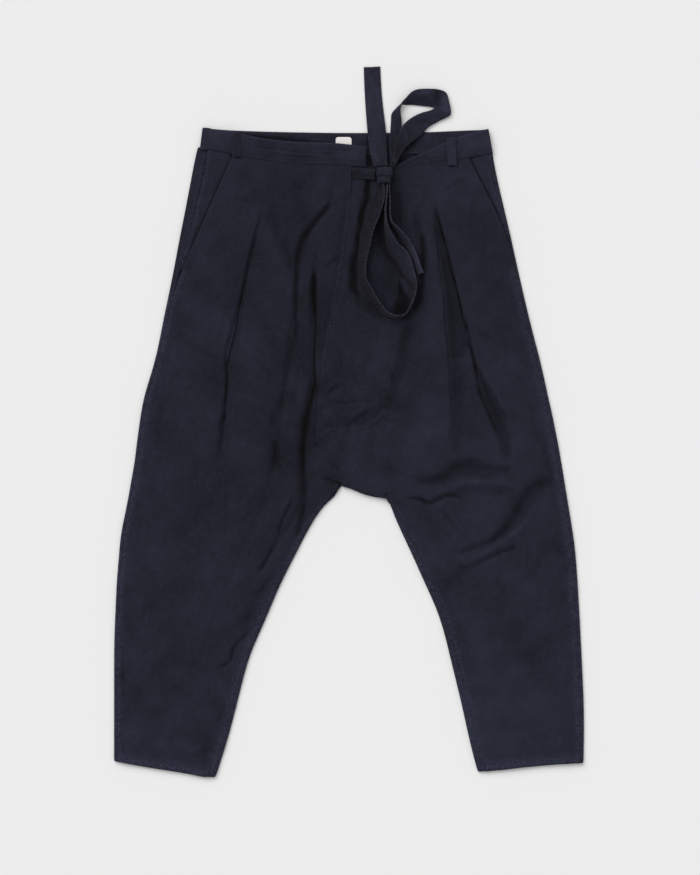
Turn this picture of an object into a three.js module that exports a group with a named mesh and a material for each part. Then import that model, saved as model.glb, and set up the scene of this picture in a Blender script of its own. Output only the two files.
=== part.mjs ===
// Momohiki pants: tapered work trousers with a low gusseted crotch and a tied waistband, laid flat
// with the front up. Millimetres. +X is the wearer's left, +Y the waist, +Z up from the surface.
import * as THREE from 'three';

// ---------------------------------------------------------------- driving dimensions
const CLOTH = 1.4;            // wall of the trouser cloth
const BAND_WALL = 2.2;        // folded and interlined waistband, belt loops
const BACK_BAND_WALL = 2.0;   // the same band where it lies pressed on the surface
const TAPE_WALL = 1.8;        // the tie: a strip folded and edge-stitched
const TAPE_WIDTH = 23;
const LABEL_WALL = 1.0;
const HEM_DEPTH = 12;         // turned-up hem
const HEM_WALL = 2.2;
const SEAM_GAP = 0.4;         // between pieces that meet edge to edge
const LAYER = 4.2;            // height of the front layer where it meets a side seam
const LOWEST = 2.9;           // lowest that a crease of the front layer may sink
const BAND_HEIGHT = 7.0;      // height of the front band, over the panels' top edges
const TUCK_UNDER = 8;         // how far a panel's top edge goes up under the band
const PLY = CLOTH + 0.5;      // spacing of the plies in a pleat
const CENTRE_BACK = -5;       // x of the centre-back seam
const TOP = 400;              // the rows of the panels run from this height
const HEM = -520;             // down to this one, before they are fitted to waist seam and hem

// ---------------------------------------------------------------- tables and how they are read
const table = (names, rows) => rows.map(
  (row) => Object.fromEntries(names.split(' ').map((name, i) => [name, row[i]])));

const lerp = THREE.MathUtils.lerp;
const clamp = THREE.MathUtils.clamp;

// One column of a table, read between its rows; `key` is the column that runs along the piece.
function read(rows, key, column, value) {
  const falling = rows[0][key] > rows[rows.length - 1][key];
  const past = (row) => (falling ? row[key] <= value : row[key] >= value);
  const i = rows.findIndex(past);
  if (i === 0) return rows[0][column];
  if (i < 0) return rows[rows.length - 1][column];
  const [a, b] = [rows[i - 1], rows[i]];
  return lerp(a[column], b[column], (value - a[key]) / (b[key] - a[key]));
}

// ---------------------------------------------------------------- the cut, as it lies
// Outline of each leg. side and inner: the two edges as they lie. turnSide and turnInner: how far
// the back panel comes round those edges to its seam on the front.
const RIGHT_LEG = table('y side inner turnSide turnInner', [
  [412, -225, CENTRE_BACK, 14, 0],
  [384, -232, CENTRE_BACK, 17, 0],
  [354, -238, CENTRE_BACK, 17, 0],
  [309, -247, CENTRE_BACK, 16, 0],
  [272, -255, CENTRE_BACK, 13, 0],
  [212, -266, CENTRE_BACK, 9, 0],
  [152, -279, CENTRE_BACK, 7, 0],
  [114, -286, CENTRE_BACK, 6, 0],
  [76, -295, CENTRE_BACK, 6, 0],
  [45, -306, CENTRE_BACK, 6, 0],
  [16, -312, CENTRE_BACK, 6, 0],
  [-34, -319, CENTRE_BACK, 6, 0],
  [-62, -322, -9.8, 6, 0],
  [-88, -327, -9.8, 6, 4],
  [-98, -329, -11, 6, 4],
  [-112, -331, -24, 6, 4],
  [-130, -334, -41, 6, 5],
  [-148, -339, -53, 6, 7],
  [-178, -344, -69, 6, 9],
  [-208, -346, -84, 6, 10],
  [-238, -349, -100, 6, 11],
  [-268, -350, -113, 6, 12],
  [-306, -352, -128, 6, 13],
  [-328, -353, -141, 6, 13],
  [-344, -353, -147, 6, 13],
  [-366, -353, -154, 6, 13],
  [-408, -353, -164, 6, 13],
  [-464, -353, -180, 6, 13],
  [-488, -353, -188, 6, 13],
  [-520, -353, -200, 6, 13],
]);
const LEFT_LEG = table('y side inner turnSide turnInner', [
  [412, 214, CENTRE_BACK, 7, 0],
  [384, 217.5, CENTRE_BACK, 7, 0],
  [354, 224, CENTRE_BACK, 6, 0],
  [309, 235, CENTRE_BACK, 5, 0],
  [272, 244, CENTRE_BACK, 4, 0],
  [212, 257, CENTRE_BACK, 4, 0],
  [182, 264, CENTRE_BACK, 4, 0],
  [152, 271, CENTRE_BACK, 5, 0],
  [114, 281, CENTRE_BACK, 5, 0],
  [76, 291, CENTRE_BACK, 5, 0],
  [45, 297, CENTRE_BACK, 5, 0],
  [16, 304, CENTRE_BACK, 5, 0],
  [-34, 314, CENTRE_BACK, 5, 0],
  [-62, 319, 1.8, 5, 0],
  [-112, 327, 53.4, 5, 12],
  [-129, 330, 62, 5, 12],
  [-148, 333, 70, 5, 12],
  [-178, 338, 84, 5, 12],
  [-208, 341, 98, 5, 12],
  [-238, 343, 111, 5, 12],
  [-268, 345, 125, 5, 12],
  [-290, 346, 136, 5, 12],
  [-306, 347, 140, 5, 12],
  [-344, 349, 149, 5, 13],
  [-366, 350, 154, 5, 13],
  [-408, 352, 165, 5, 13],
  [-441, 353, 173, 5, 13],
  [-488, 353, 183, 5, 13],
  [-520, 352, 193, 5, 13],
]);

// Waist seams, hems and band edges, read across x.
const WAIST_SEAM_RIGHT = table('x y', [
  [-219, 412], [-201, 409], [-171, 402], [-134, 394], [-88, 388], [-44, 387], [2, 386], [26, 383],
]);
const WAIST_SEAM_LEFT = table('x y', [
  [-12, 378], [26, 374], [62, 371], [90, 384], [106, 388], [136, 392], [174, 396], [214, 404],
]);
const HEM_RIGHT = table('x y', [
  [-353, -510], [-334, -514], [-300, -520], [-267, -525], [-243, -529], [-218, -534], [-198, -534],
]);
const HEM_LEFT = table('x y', [
  [194, -526], [222, -525], [248, -521], [300, -516], [351, -513],
]);
const BAND_TOP_BACK = table('x y', [
  [-219, 440], [-201, 438], [-178, 436], [-118, 434], [-14, 432], [111, 433], [170, 436], [207, 437],
]);
const WAIST_SEAM_BACK = table('x y', [[-219, 408], [CENTRE_BACK, 400], [207, 405]]);
const BAND_TOP_RIGHT = table('x y', [
  [-212, 437], [-172, 435], [-148, 427], [-130, 424], [-88, 419], [-21, 417], [26, 412],
]);
const BAND_TOP_LEFT = table('x y', [
  [66, 380], [90, 394], [116, 404], [136, 415], [150, 421], [166, 427], [184, 432], [205, 436],
]);

// Slant pocket openings: the cut edge of the front panel, from the band down to the side seam.
const POCKET_RIGHT = table('y x', [[411, -169], [398, -174], [218, -254]]);
const POCKET_LEFT = table('y x', [[404, 174], [397, 178], [361, 196], [316, 219], [275, 237], [258, 240]]);
const POCKET_UNDERLAP = 12;   // how far the facing goes on under the front panel

// Centre front. right and left: each front panel's edge, with the height that it lies at. The right
// panel lies on the left one down to the fly's end, and dips under it in the deep crease below.
const CENTRE_FRONT = table('y right zRight left zLeft', [
  [400, 3, 4.9, -5, 3.3],
  [386, 3, 4.9, -5, 3.3],
  [345, 2.5, 6.2, -5, 3.6],
  [300, -2, 6.2, -9, 4.2],
  [243, -8, 6.4, -14, 4.2],
  [174, -20, 6.6, -26, 4.3],
  [118, -32, 6.6, -37, 4.4],
  [90, -37, 6.3, -36.2, 4.8],
  [62, -42, 5.4, -41.2, 5.8],
  [40, -46.8, 4.2, -46, 6.1],
  [15, -44, 3.2, -49, 6.2],
  [-9, -42, LOWEST, -52, 6.2],
  [-34, -40, LOWEST, -52, 6.2],
  [-58, -34, 3.6, -52, 6.2],
  [-80, -22, 4.6, -52, 6.2],
  [-96, -17, 4.4, -52, 6.2],
]);

// The stitched pleats. x: the fold's edge. tuck: how far the fold goes back under itself, negative
// where it has opened out. lift: how much of its full height the fold has.
const PLEAT_RIGHT = table('y x tuck lift', [
  [400, -124, -7.5, 0], [321, -130, -7.5, 0], [300, -137, -3, 0.6], [280, -143, 3, 1],
  [226, -156, 10, 1], [182, -164, 12, 1], [140, -170, 12, 1], [90, -183, 12, 1], [48, -186, 8, 1],
  [18, -187, 3, 1], [-8, -188, -3, 0.7], [-40, -189, -6, 0.3], [-62, -190, -7.5, 0],
  [-100, -205, -7.5, 0], [-208, -235, -7.5, 0], [-328, -270, -7.5, 0], [-520, -300, -7.5, 0],
]);
const PLEAT_LEFT = table('y x tuck lift', [
  [400, 118, -7.5, 0], [332, 128, -7.5, 0], [310, 135, -3, 0.6], [290, 140, 3, 1],
  [250, 151, 9, 1], [172, 170, 12, 1], [117, 178, 12, 1], [82, 192, 12, 1], [48, 207, 8, 1],
  [18, 220, 3, 1], [-8, 231, -3, 0.7], [-39, 244, -7.5, 0], [-100, 262, -7.5, 0],
  [-208, 280, -7.5, 0], [-344, 300, -7.5, 0], [-525, 316, -7.5, 0],
]);

// Soft folds. depth: how far the middle of the fold sinks below the cloth round it.
const CURVED_VALLEY = table('y x depth', [
  [400, -21, 0], [352, -20, 1], [320, -30, 2.4], [304, -42, 3.2], [288, -57, 3.6], [255, -74, 3.6],
  [216, -80, 3], [170, -79, 2.6], [126, -86, 2.6], [26, -98, 2.6], [-58, -109, 3.4], [-90, -116, 0.5],
  [-208, -165, 0.8], [-328, -215, 0.6], [-520, -262, 0],
]);
// The deep crease beside the centre front. lip: from its bottom to its inner lip. rise: the lip's
// height over the cloth round it, negative where it runs on under the other panel.
const DEEP_CREASE = table('y x depth lip rise', [
  [400, -9, 0, 4, 0], [352, -9, 0, 4, 0], [320, -14, 0, 5, 0], [288, -34, 0, 7, 0],
  [255, -46, 0.6, 7, 0.2], [225, -52, 4, 6, 0.6], [194, -52, 6, 6, 0.8], [147, -52, 4, 5, 0.8],
  [104, -52, 4, 5, 0.6], [62, -53, 5, 5, 0], [40, -57, 7, 5, -2], [15, -62, 9, 6, -9],
  [-9, -67, 9, 8, -9], [-34, -68, 9, 10, -9], [-62, -68, 9, 10, -1.5], [-88, -68, 9, 10, 0],
  [-123, -71, 7, 8, 0], [-144, -77, 5, 5, 0], [-172, -97, 1.5, 5, 0], [-208, -124, 0, 6, 0],
  [-328, -180, 0, 8, 0], [-520, -226, 0, 5, 0],
]);
// The soft ridge that the left pleat's dark underlay falls away from.
const UNDERLAY_RIDGE = table('y x rise', [
  [400, 104, 0], [327, 108, 0.5], [272, 122, 1.6], [212, 132, 2.2], [136, 140, 2.4], [76, 150, 2.2],
  [2, 160, 1.6], [-44, 164, 0.8], [-150, 192, 0.4], [-208, 206, 0.4], [-344, 232, 0], [-525, 262, 0],
]);

// How full each front panel stands between its edges, down its length.
const FULLNESS = table('y rise', [
  [400, 0], [386, 0], [368, 0.6], [320, 1.6], [200, 2.2], [60, 3], [-60, 4], [-200, 4], [-350, 3],
  [-470, 1.6], [-508, 0.6], [-520, 0.4],
]);

// ---------------------------------------------------------------- cloth as closed solids
const MATERIALS = {
  cloth: new THREE.MeshStandardMaterial({ color: 0x24242e, roughness: 0.9, metalness: 0 }),
  band: new THREE.MeshStandardMaterial({ color: 0x262630, roughness: 0.9, metalness: 0 }),
  tape: new THREE.MeshStandardMaterial({ color: 0x28283a, roughness: 0.88, metalness: 0 }),
  label: new THREE.MeshStandardMaterial({ color: 0xe4e2de, roughness: 0.7, metalness: 0 }),
};
const garment = new THREE.Group();

// The wall's direction at a point of a section: square to both plies that meet there, and longer at
// a fold, so that the wall keeps its thickness round it.
function wallDirection(sections, i, j) {
  const row = sections[i];
  const before = sections[Math.max(i - 1, 0)][j];
  const after = sections[Math.min(i + 1, sections.length - 1)][j];
  const along = new THREE.Vector3().subVectors(after, before);
  const faceNormal = (a, b) => {
    const across = new THREE.Vector3().subVectors(row[b], row[a]);
    return new THREE.Vector3().crossVectors(along, across).normalize();
  };
  const first = faceNormal(Math.max(j - 1, 0), Math.max(j, 1));
  const second = faceNormal(Math.min(j, row.length - 2), Math.min(j + 1, row.length - 1));
  const middle = first.clone().add(second).normalize();
  return middle.divideScalar(Math.max(middle.dot(first), 0.5));
}

// A closed wall of cloth round a grid of points: sections down the piece, points across each one.
// keep(i, j) says which cells of the grid are cloth.
function clothSolid(name, material, sections, wallAt, keep = () => true) {
  const rows = sections.length;
  const columns = sections[0].length;
  const positions = [];
  const numbers = new Map();
  const corner = (i, j, face) => {
    const key = `${i} ${j} ${face}`;
    if (!numbers.has(key)) {
      const offset = wallDirection(sections, i, j).multiplyScalar(face * wallAt(i, j) / 2);
      numbers.set(key, positions.length / 3);
      positions.push(...sections[i][j].clone().add(offset).toArray());
    }
    return numbers.get(key);
  };
  const kept = (i, j) => i >= 0 && j >= 0 && i < rows - 1 && j < columns - 1 && keep(i, j);
  const faces = [];
  const quad = (a, b, c, d) => faces.push(a, b, c, a, c, d);
  for (let i = 0; i < rows - 1; i += 1) {
    for (let j = 0; j < columns - 1; j += 1) {
      if (!kept(i, j)) continue;
      const ring = [[i, j], [i + 1, j], [i + 1, j + 1], [i, j + 1]];
      quad(...ring.map(([a, b]) => corner(a, b, 1)));
      quad(...ring.map(([a, b]) => corner(a, b, -1)).reverse());
      const neighbours = [[i, j - 1], [i + 1, j], [i, j + 1], [i - 1, j]];
      neighbours.forEach(([a, b], side) => {
        if (kept(a, b)) return;
        const from = ring[side];
        const to = ring[(side + 1) % 4];
        quad(corner(...to, 1), corner(...from, 1), corner(...from, -1), corner(...to, -1));
      });
    }
  }
  const geometry = new THREE.BufferGeometry();
  geometry.setAttribute('position', new THREE.Float32BufferAttribute(positions, 3));
  geometry.setIndex(faces);
  geometry.computeVertexNormals();
  const mesh = new THREE.Mesh(geometry, material);
  mesh.name = name;
  garment.add(mesh);
  return mesh;
}

const point = (x, y, z) => new THREE.Vector3(x, y, z);
const clothWall = (y) => (y <= HEM + HEM_DEPTH ? HEM_WALL : CLOTH);

// Fits a row's height to the waist seam and the hem, which aren't level.
const FIT_REACH = 130;
function fitted(y, x, topEdge, hemEdge) {
  const nearTop = clamp(1 - (TOP - y) / FIT_REACH, 0, 1);
  const nearHem = clamp(1 - (y - HEM) / FIT_REACH, 0, 1);
  return y + nearTop * (topEdge(x) - TOP) + nearHem * (hemEdge(x) - HEM);
}

// The rows of all four panels, so that what meets at a seam meets along its whole length.
const HEM_FOLD = HEM + HEM_DEPTH;
const ROWS = [TOP, 386, 368, 345, 321, 300, 280, 255, 226, 194, 165, 140, 118, 90, 62, 40, 15, -9, -34,
  -62, -88, -112, -136, -160, -184, -208, -240, -275, -310, -350, -392, -434, -474, HEM_FOLD + 0.5,
  HEM_FOLD, HEM];

// ---------------------------------------------------------------- back panels
const ROLL_ANGLES = [90, 30, -30, -90];

// Half a turn of cloth round an edge, from the front lip down to the surface.
function roll(edge, outward, low, high, wall) {
  const radius = (high - low) / 2;
  const centre = edge - outward * (radius + wall / 2);
  return ROLL_ANGLES.map((angle) => {
    const turn = THREE.MathUtils.degToRad(angle);
    return [centre + outward * radius * Math.cos(turn), (low + high) / 2 + radius * Math.sin(turn)];
  });
}

function backPanel(name, leg, outward, seatEnd, hemEdge) {
  const topEdge = (x) => read(WAIST_SEAM_BACK, 'x', 'y', x) - SEAM_GAP;
  const sections = ROWS.map((y) => {
    const at = (column) => read(leg, 'y', column, y);
    const wall = clothWall(y);
    const low = wall / 2;
    const high = LAYER + (wall - CLOTH) / 4;
    const side = at('side');
    const turned = roll(side, outward, low, high, wall);
    const outer = [[side - outward * at('turnSide'), high], ...turned];
    const flatFrom = turned[3][0];
    let inner;
    if (y >= seatEnd) {
      const seam = at('inner') + outward * SEAM_GAP / 2;
      inner = [8, 6, 4, 2, 0].map((step) => [seam + outward * step, low]);
    } else {
      const edge = at('inner');
      inner = [...roll(edge, -outward, low, high, wall).reverse(),
        [edge + outward * at('turnInner'), high]];
    }
    const flat = [[lerp(flatFrom, inner[0][0], 0.5), low]];
    const across = [...outer, ...flat, ...inner];
    if (outward > 0) across.reverse();
    return across.map(([x, z]) => point(x, fitted(y, x, topEdge, hemEdge), z));
  });
  return clothSolid(name, MATERIALS.cloth, sections, (i) => clothWall(ROWS[i]));
}
const hemRight = (x) => read(HEM_RIGHT, 'x', 'y', x);
const hemLeft = (x) => read(HEM_LEFT, 'x', 'y', x);
backPanel('back_right', RIGHT_LEG, -1, -94, hemRight);
backPanel('back_left', LEFT_LEG, 1, -112, hemLeft);

// ---------------------------------------------------------------- front panels
const POCKET_END = { right: 218, left: 258 };   // below these the front panels reach the side seams
// How high the panels' outer edges lie: over the facing along the pocket, then on the side seam.
const EDGE_LIFT = table('y right left', [
  [400, 4.9, 4.9], [386, 4.9, 4.9], [368, 5.9, 6.6], [300, 6.2, 7.6], [250, 6, 6.4], [226, 5.6, 5.2],
  [200, LAYER, LAYER], [HEM, LAYER, LAYER],
]);

// The slant opening's edge in a row, once that row is fitted to the waist seam.
function slantAt(pocket, y, topEdge) {
  let x = read(pocket, 'y', 'x', y);
  for (let pass = 0; pass < 3; pass += 1) x = read(pocket, 'y', 'x', fitted(y, x, topEdge, () => HEM));
  return x;
}

// The six points of a pleat, from the ply on top round both folds to the underlay.
// outward: the side that the top ply comes from.
function pleat(rows, y, outward, ground) {
  const edge = read(rows, 'y', 'x', y);
  const tuck = read(rows, 'y', 'tuck', y);
  const lift = read(rows, 'y', 'lift', y);
  const open = 1.2 * (1 - lift);
  const inner = edge + outward * tuck;
  return {
    edge,
    lift: 2 * PLY * lift,
    points: [
      [edge + outward * 16, ground + 2 * PLY * lift],
      [edge + outward * open, ground + 2 * PLY * lift],
      [edge - outward * open, ground + PLY * lift],
      [inner, ground + PLY * lift],
      [inner - outward * open, ground],
      [edge - outward * 12, ground - 0.4 * lift],
    ],
  };
}

function frontRight() {
  const topEdge = (x) => read(WAIST_SEAM_RIGHT, 'x', 'y', x) + TUCK_UNDER;
  const sections = ROWS.map((y) => {
    const leg = (column) => read(RIGHT_LEG, 'y', column, y);
    const centre = (column) => read(CENTRE_FRONT, 'y', column, y);
    const crease = (column) => read(DEEP_CREASE, 'y', column, y);
    const onPocket = y > POCKET_END.right;
    const seam = leg('side') + leg('turnSide') + SEAM_GAP;
    const outer = onPocket ? slantAt(POCKET_RIGHT, y, topEdge) : seam;
    const onCrotch = y > -100;
    const inner = onCrotch ? centre('right') : leg('inner') - leg('turnInner') - SEAM_GAP;
    const hemLift = (clothWall(y) - CLOTH) / 4;
    const zOuter = read(EDGE_LIFT, 'y', 'right', y) + hemLift;
    const zInner = onCrotch ? centre('zRight') : LAYER + hemLift;
    const rise = read(FULLNESS, 'y', 'rise', y);
    const ground = (x) => {
      const share = clamp((x - outer) / (inner - outer), 0, 1);
      return lerp(zOuter, Math.max(zInner, LAYER), share) + rise * 4 * share * (1 - share);
    };
    const fold = pleat(PLEAT_RIGHT, y, -1, ground(read(PLEAT_RIGHT, 'y', 'x', y)));
    const valley = read(CURVED_VALLEY, 'y', 'x', y);
    const bottom = crease('x');
    const valleyOut = valley - 7;
    const valleyIn = valley + Math.min(7, 0.35 * (bottom - valley));
    const shoulder = Math.max(bottom - 8, lerp(valleyIn, bottom, 0.4));
    const lip = Math.min(bottom + crease('lip'), inner - 4);
    const zLip = Math.max(ground(lip) + crease('rise'), LOWEST);
    const underlay = fold.points[5];
    const outside = fold.points[0][0];
    const across = [
      [outer, zOuter],
      [outer + 6, ground(outer + 6) + 0.2 * fold.lift],
      [lerp(outer + 6, outside, 0.5), ground(lerp(outer + 6, outside, 0.5)) + 0.7 * fold.lift],
      ...fold.points,
      [lerp(underlay[0], valleyOut, 0.5), ground(lerp(underlay[0], valleyOut, 0.5)) + 0.2 * rise],
      [valleyOut, ground(valleyOut) + 0.1 * rise],
      [valley, Math.max(ground(valley) - read(CURVED_VALLEY, 'y', 'depth', y), LOWEST)],
      [valleyIn, ground(valleyIn)],
      [shoulder, ground(shoulder)],
      [bottom, Math.max(ground(bottom) - crease('depth'), LOWEST)],
      [lip, zLip],
      [lerp(lip, inner, 0.5), lerp(zLip, zInner, 0.5)],
      [inner, zInner],
    ];
    return across.map(([x, z]) => point(x, fitted(y, x, topEdge, hemRight), z));
  });
  return clothSolid('front_right', MATERIALS.cloth, sections, (i) => clothWall(ROWS[i]));
}

// The gusset's outline on the front: top edge, bottom edge and right seam.
const GUSSET_TOP = table('x y', [
  [-52, -34], [-36, -14], [-21, -9], [16, -9], [32, -3], [50, 14], [60, 18],
]);
const GUSSET_RIGHT = table('y x', [[18, 60], [-15, 54], [-40, 56], [-70, 62], [-107, 70]]);
const CROTCH_EDGE = table('x y', [
  [-57, -57], [-42, -76], [-12, -95], [18, -108], [34, -113], [52, -116], [70, -108],
]);
const LAP = 6;                 // a panel's edge under the gusset
const NOTCH_ROW = -9;          // the row of the left front that follows the gusset's top edge
const NOTCH_REACH = 90;

function frontLeft() {
  const shares = [0, 0.17, 0.34, 0.5, 0.67, 0.84, 1];
  const notchColumn = shares.length - 1;
  const topEdge = (x) => read(WAIST_SEAM_LEFT, 'x', 'y', x) + TUCK_UNDER;
  const notched = (y, x, seamX) => {
    const nearRow = clamp(1 - Math.abs(y - NOTCH_ROW) / NOTCH_REACH, 0, 1);
    const nearSeam = clamp(1 - (x - seamX) / NOTCH_REACH, 0, 1);
    const edge = read(GUSSET_TOP, 'x', 'y', x) - LAP;
    return y + nearRow * nearSeam * (edge - NOTCH_ROW);
  };
  const sections = ROWS.map((y) => {
    const leg = (column) => read(LEFT_LEG, 'y', column, y);
    const centre = (column) => read(CENTRE_FRONT, 'y', column, y);
    const onPocket = y > POCKET_END.left;
    const seam = leg('side') - leg('turnSide') - SEAM_GAP;
    const outer = onPocket ? slantAt(POCKET_LEFT, y, topEdge) : seam;
    const hemLift = (clothWall(y) - CLOTH) / 4;
    const zOuter = read(EDGE_LIFT, 'y', 'left', y) + hemLift;
    const rise = read(FULLNESS, 'y', 'rise', y);
    const inseam = leg('inner') + leg('turnInner') + SEAM_GAP;
    const gussetSeam = y > 0 ? 60 - LAP : read(GUSSET_RIGHT, 'y', 'x', y) - LAP;
    const notch = y > -107 ? gussetSeam : Math.max(inseam, gussetSeam);
    const edge = centre('left');
    const zNotch = y > -107 ? 6.2 : lerp(LAYER, 6.2, clamp((y + 150) / 43, 0, 1)) + hemLift;
    const onSeat = y >= NOTCH_ROW;
    const inner = onSeat ? edge : notch;
    const zInner = onSeat ? centre('zLeft') : zNotch;
    const ground = (x) => {
      const share = clamp((x - inner) / (outer - inner), 0, 1);
      return lerp(zInner, zOuter, share) + rise * 4 * share * (1 - share);
    };
    const fold = pleat(PLEAT_LEFT, y, 1, ground(read(PLEAT_LEFT, 'y', 'x', y)));
    const ridge = read(UNDERLAY_RIDGE, 'y', 'x', y);
    const outside = fold.points[0][0];
    const beside = lerp(notch, ridge, 0.5);
    const nearGusset = clamp(1 - (y - NOTCH_ROW) / 70, 0, 1);
    const central = shares.map((share) => {
      const x = lerp(edge, notch, share);
      return [x, onSeat ? lerp(ground(x), zNotch, nearGusset) : zNotch];
    });
    const across = [
      ...central,
      [beside, lerp(ground(beside), zNotch, onSeat ? 0.7 * nearGusset : 0)],
      [ridge, ground(ridge) + read(UNDERLAY_RIDGE, 'y', 'rise', y)],
      ...fold.points.slice().reverse(),
      [lerp(outer - 6, outside, 0.5), ground(lerp(outer - 6, outside, 0.5)) + 0.7 * fold.lift],
      [outer - 6, ground(outer - 6) + 0.2 * fold.lift],
      [outer, zOuter],
    ];
    return across.map(([x, z]) => {
      const height = fitted(y, x, topEdge, hemLeft);
      return point(x, notched(height, x, notch), z);
    });
  });
  const notchRow = ROWS.indexOf(NOTCH_ROW);
  return clothSolid('front_left', MATERIALS.cloth, sections, (i) => clothWall(ROWS[i]),
    (i, j) => i < notchRow || j >= notchColumn);
}
frontRight();
frontLeft();

// ---------------------------------------------------------------- crotch gusset
// One piece folded round the crotch edge: a broad face on the front and a point on the back.
function crotchGusset() {
  const height = 8.2;
  const low = CLOTH / 2;
  const radius = (height - low) / 2;
  const shares = [0, 0.14, 0.28, 0.4, 0.52, 0.64, 0.76, 0.86, 1];
  const foldFrom = 3;
  const foldTo = 7;
  const apex = { x: CENTRE_BACK, y: -60, halfWidth: 4 };
  const down = [0, 0.25, 0.5, 0.75, 1];
  const front = down.map((v) => shares.map((share) => {
    const [xTop, xBottom] = [lerp(-52, 60, share), lerp(-57, 70, share)];
    const bottomY = read(CROTCH_EDGE, 'x', 'y', xBottom);
    const edgeY = bottomY + radius + CLOTH / 2;
    const y = lerp(read(GUSSET_TOP, 'x', 'y', xTop), edgeY, v);
    const x = share === 1 ? read(GUSSET_RIGHT, 'y', 'x', y) : lerp(xTop, xBottom, v);
    return point(x, y, height);
  }));
  const edge = front[front.length - 1];
  const turn = [45, 90, 135, 180].map((angle) => {
    const a = THREE.MathUtils.degToRad(angle);
    return edge.map((p) => point(
      p.x, p.y - radius * Math.sin(a), low + radius + radius * Math.cos(a)));
  });
  const back = [0.5, 1].map((v) => turn[3].map((p, j) => {
    const across = (j - foldFrom) / (foldTo - foldFrom) * 2 - 1;
    const tip = point(apex.x + across * apex.halfWidth, apex.y, low);
    return p.clone().lerp(tip, v);
  }));
  const sections = [...front, ...turn, ...back];
  return clothSolid('crotch_gusset', MATERIALS.cloth, sections, () => CLOTH,
    (i, j) => i < down.length - 1 || (j >= foldFrom && j < foldTo));
}
crotchGusset();

// ---------------------------------------------------------------- pocket facings
function pocketFacing(name, leg, pocket, outward, from, to) {
  const count = 8;
  const sections = Array.from({ length: count }, (_, i) => {
    const y = lerp(from, to, i / (count - 1));
    const seam = read(leg, 'y', 'side', y) - outward * (read(leg, 'y', 'turnSide', y) + SEAM_GAP);
    const under = read(pocket, 'y', 'x', y) - outward * POCKET_UNDERLAP;
    const across = [[seam, LAYER], [lerp(seam, under, 0.35), 3.7], [lerp(seam, under, 0.7), 3.3],
      [under, 3.2]];
    if (outward > 0) across.reverse();
    return across.map(([x, z]) => point(x, y, z));
  });
  return clothSolid(name, MATERIALS.cloth, sections, () => CLOTH);
}
pocketFacing('pocket_facing_right', RIGHT_LEG, POCKET_RIGHT, -1, 413, 226);
pocketFacing('pocket_facing_left', LEFT_LEG, POCKET_LEFT, 1, 407, 264);

// ---------------------------------------------------------------- waistband
// A strip with its top and bottom edges worked out at each station across the waist.
function band(name, stations, wall) {
  const sections = stations.map(({ x, top, bottom, z, lean = 0 }) => [
    point(x + lean, top, z), point(x + lean / 2, lerp(top, bottom, 0.5), z), point(x, bottom, z)]);
  return clothSolid(name, MATERIALS.band, sections, () => wall);
}

function backBand() {
  const low = BACK_BAND_WALL / 2;
  const ends = [
    { outward: -1, edge: -224.5, lip: -212, lean: 4 },
    { outward: 1, edge: 215, lip: 207, lean: -6 },
  ];
  const turnedEnd = ({ outward, edge, lip, lean }) => {
    const arc = roll(edge, outward, low, BAND_HEIGHT, BACK_BAND_WALL);
    return [[lip, BAND_HEIGHT], ...arc].map(([x, z]) => {
      const inside = clamp(x, -219, 207);
      const top = read(BAND_TOP_BACK, 'x', 'y', inside);
      const bottom = read(WAIST_SEAM_BACK, 'x', 'y', inside) + 1;
      return { x, z, top, bottom, lean };
    });
  };
  const across = [-200, -178, -118, -66, CENTRE_BACK, 50, 111, 147, 183];
  const flat = across.map((x) => {
    const [top, bottom] = [BAND_TOP_BACK, WAIST_SEAM_BACK].map((rows) => read(rows, 'x', 'y', x));
    return { x, top, bottom, z: low };
  });
  const stations = [...turnedEnd(ends[0]), ...flat, ...turnedEnd(ends[1]).reverse()];
  return band('waistband_back', stations, BACK_BAND_WALL);
}
backBand();

const frontBandRight = [-211.4, -190, -172, -148, -130, -108, -88, -66, -44, -21, 2, 26].map((x, i) => ({
  x,
  lean: i === 0 ? 4 : 0,
  top: read(BAND_TOP_RIGHT, 'x', 'y', x),
  bottom: read(WAIST_SEAM_RIGHT, 'x', 'y', x),
  z: BAND_HEIGHT,
}));
band('waistband_front_right', frontBandRight, BAND_WALL);

const frontBandLeft = [67, 78, 90, 106, 116, 136, 150, 166, 184, 206.4].map((x, i) => ({
  x,
  lean: i === 9 ? -6 : 0,
  top: read(BAND_TOP_LEFT, 'x', 'y', x),
  bottom: read(WAIST_SEAM_LEFT, 'x', 'y', x),
  z: BAND_HEIGHT + clamp((90 - x) * 0.12, 0, 3),
}));
band('waistband_front_left', frontBandLeft, BAND_WALL);

// ---------------------------------------------------------------- belt loops and label
function beltLoop(name, x, top, bottom, lean) {
  const width = 13.5;
  const overBand = BAND_HEIGHT + BAND_WALL + 0.4;
  const heights = [overBand, overBand + 0.8, overBand + 0.8, overBand];
  const sections = heights.map((z, i) => {
    const share = i / (heights.length - 1);
    const y = lerp(top, bottom, share);
    const middle = x + lean * (1 - share);
    return [point(middle - width / 2, y, z), point(middle + width / 2, y, z)];
  });
  return clothSolid(name, MATERIALS.band, sections, () => BAND_WALL);
}
beltLoop('belt_loop_right', -168, 432, 396, -1);
beltLoop('belt_loop_left', 155, 425, 383, -2);

const LABEL = { left: -20, right: 4, top: 426, bottom: 402 };
clothSolid('label_blank', MATERIALS.label, [LABEL.top, LABEL.bottom].map((y) => {
  const z = BACK_BAND_WALL + SEAM_GAP + LABEL_WALL / 2;
  return [point(LABEL.left, y, z), point(LABEL.right, y, z)];
}), () => LABEL_WALL);

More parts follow.
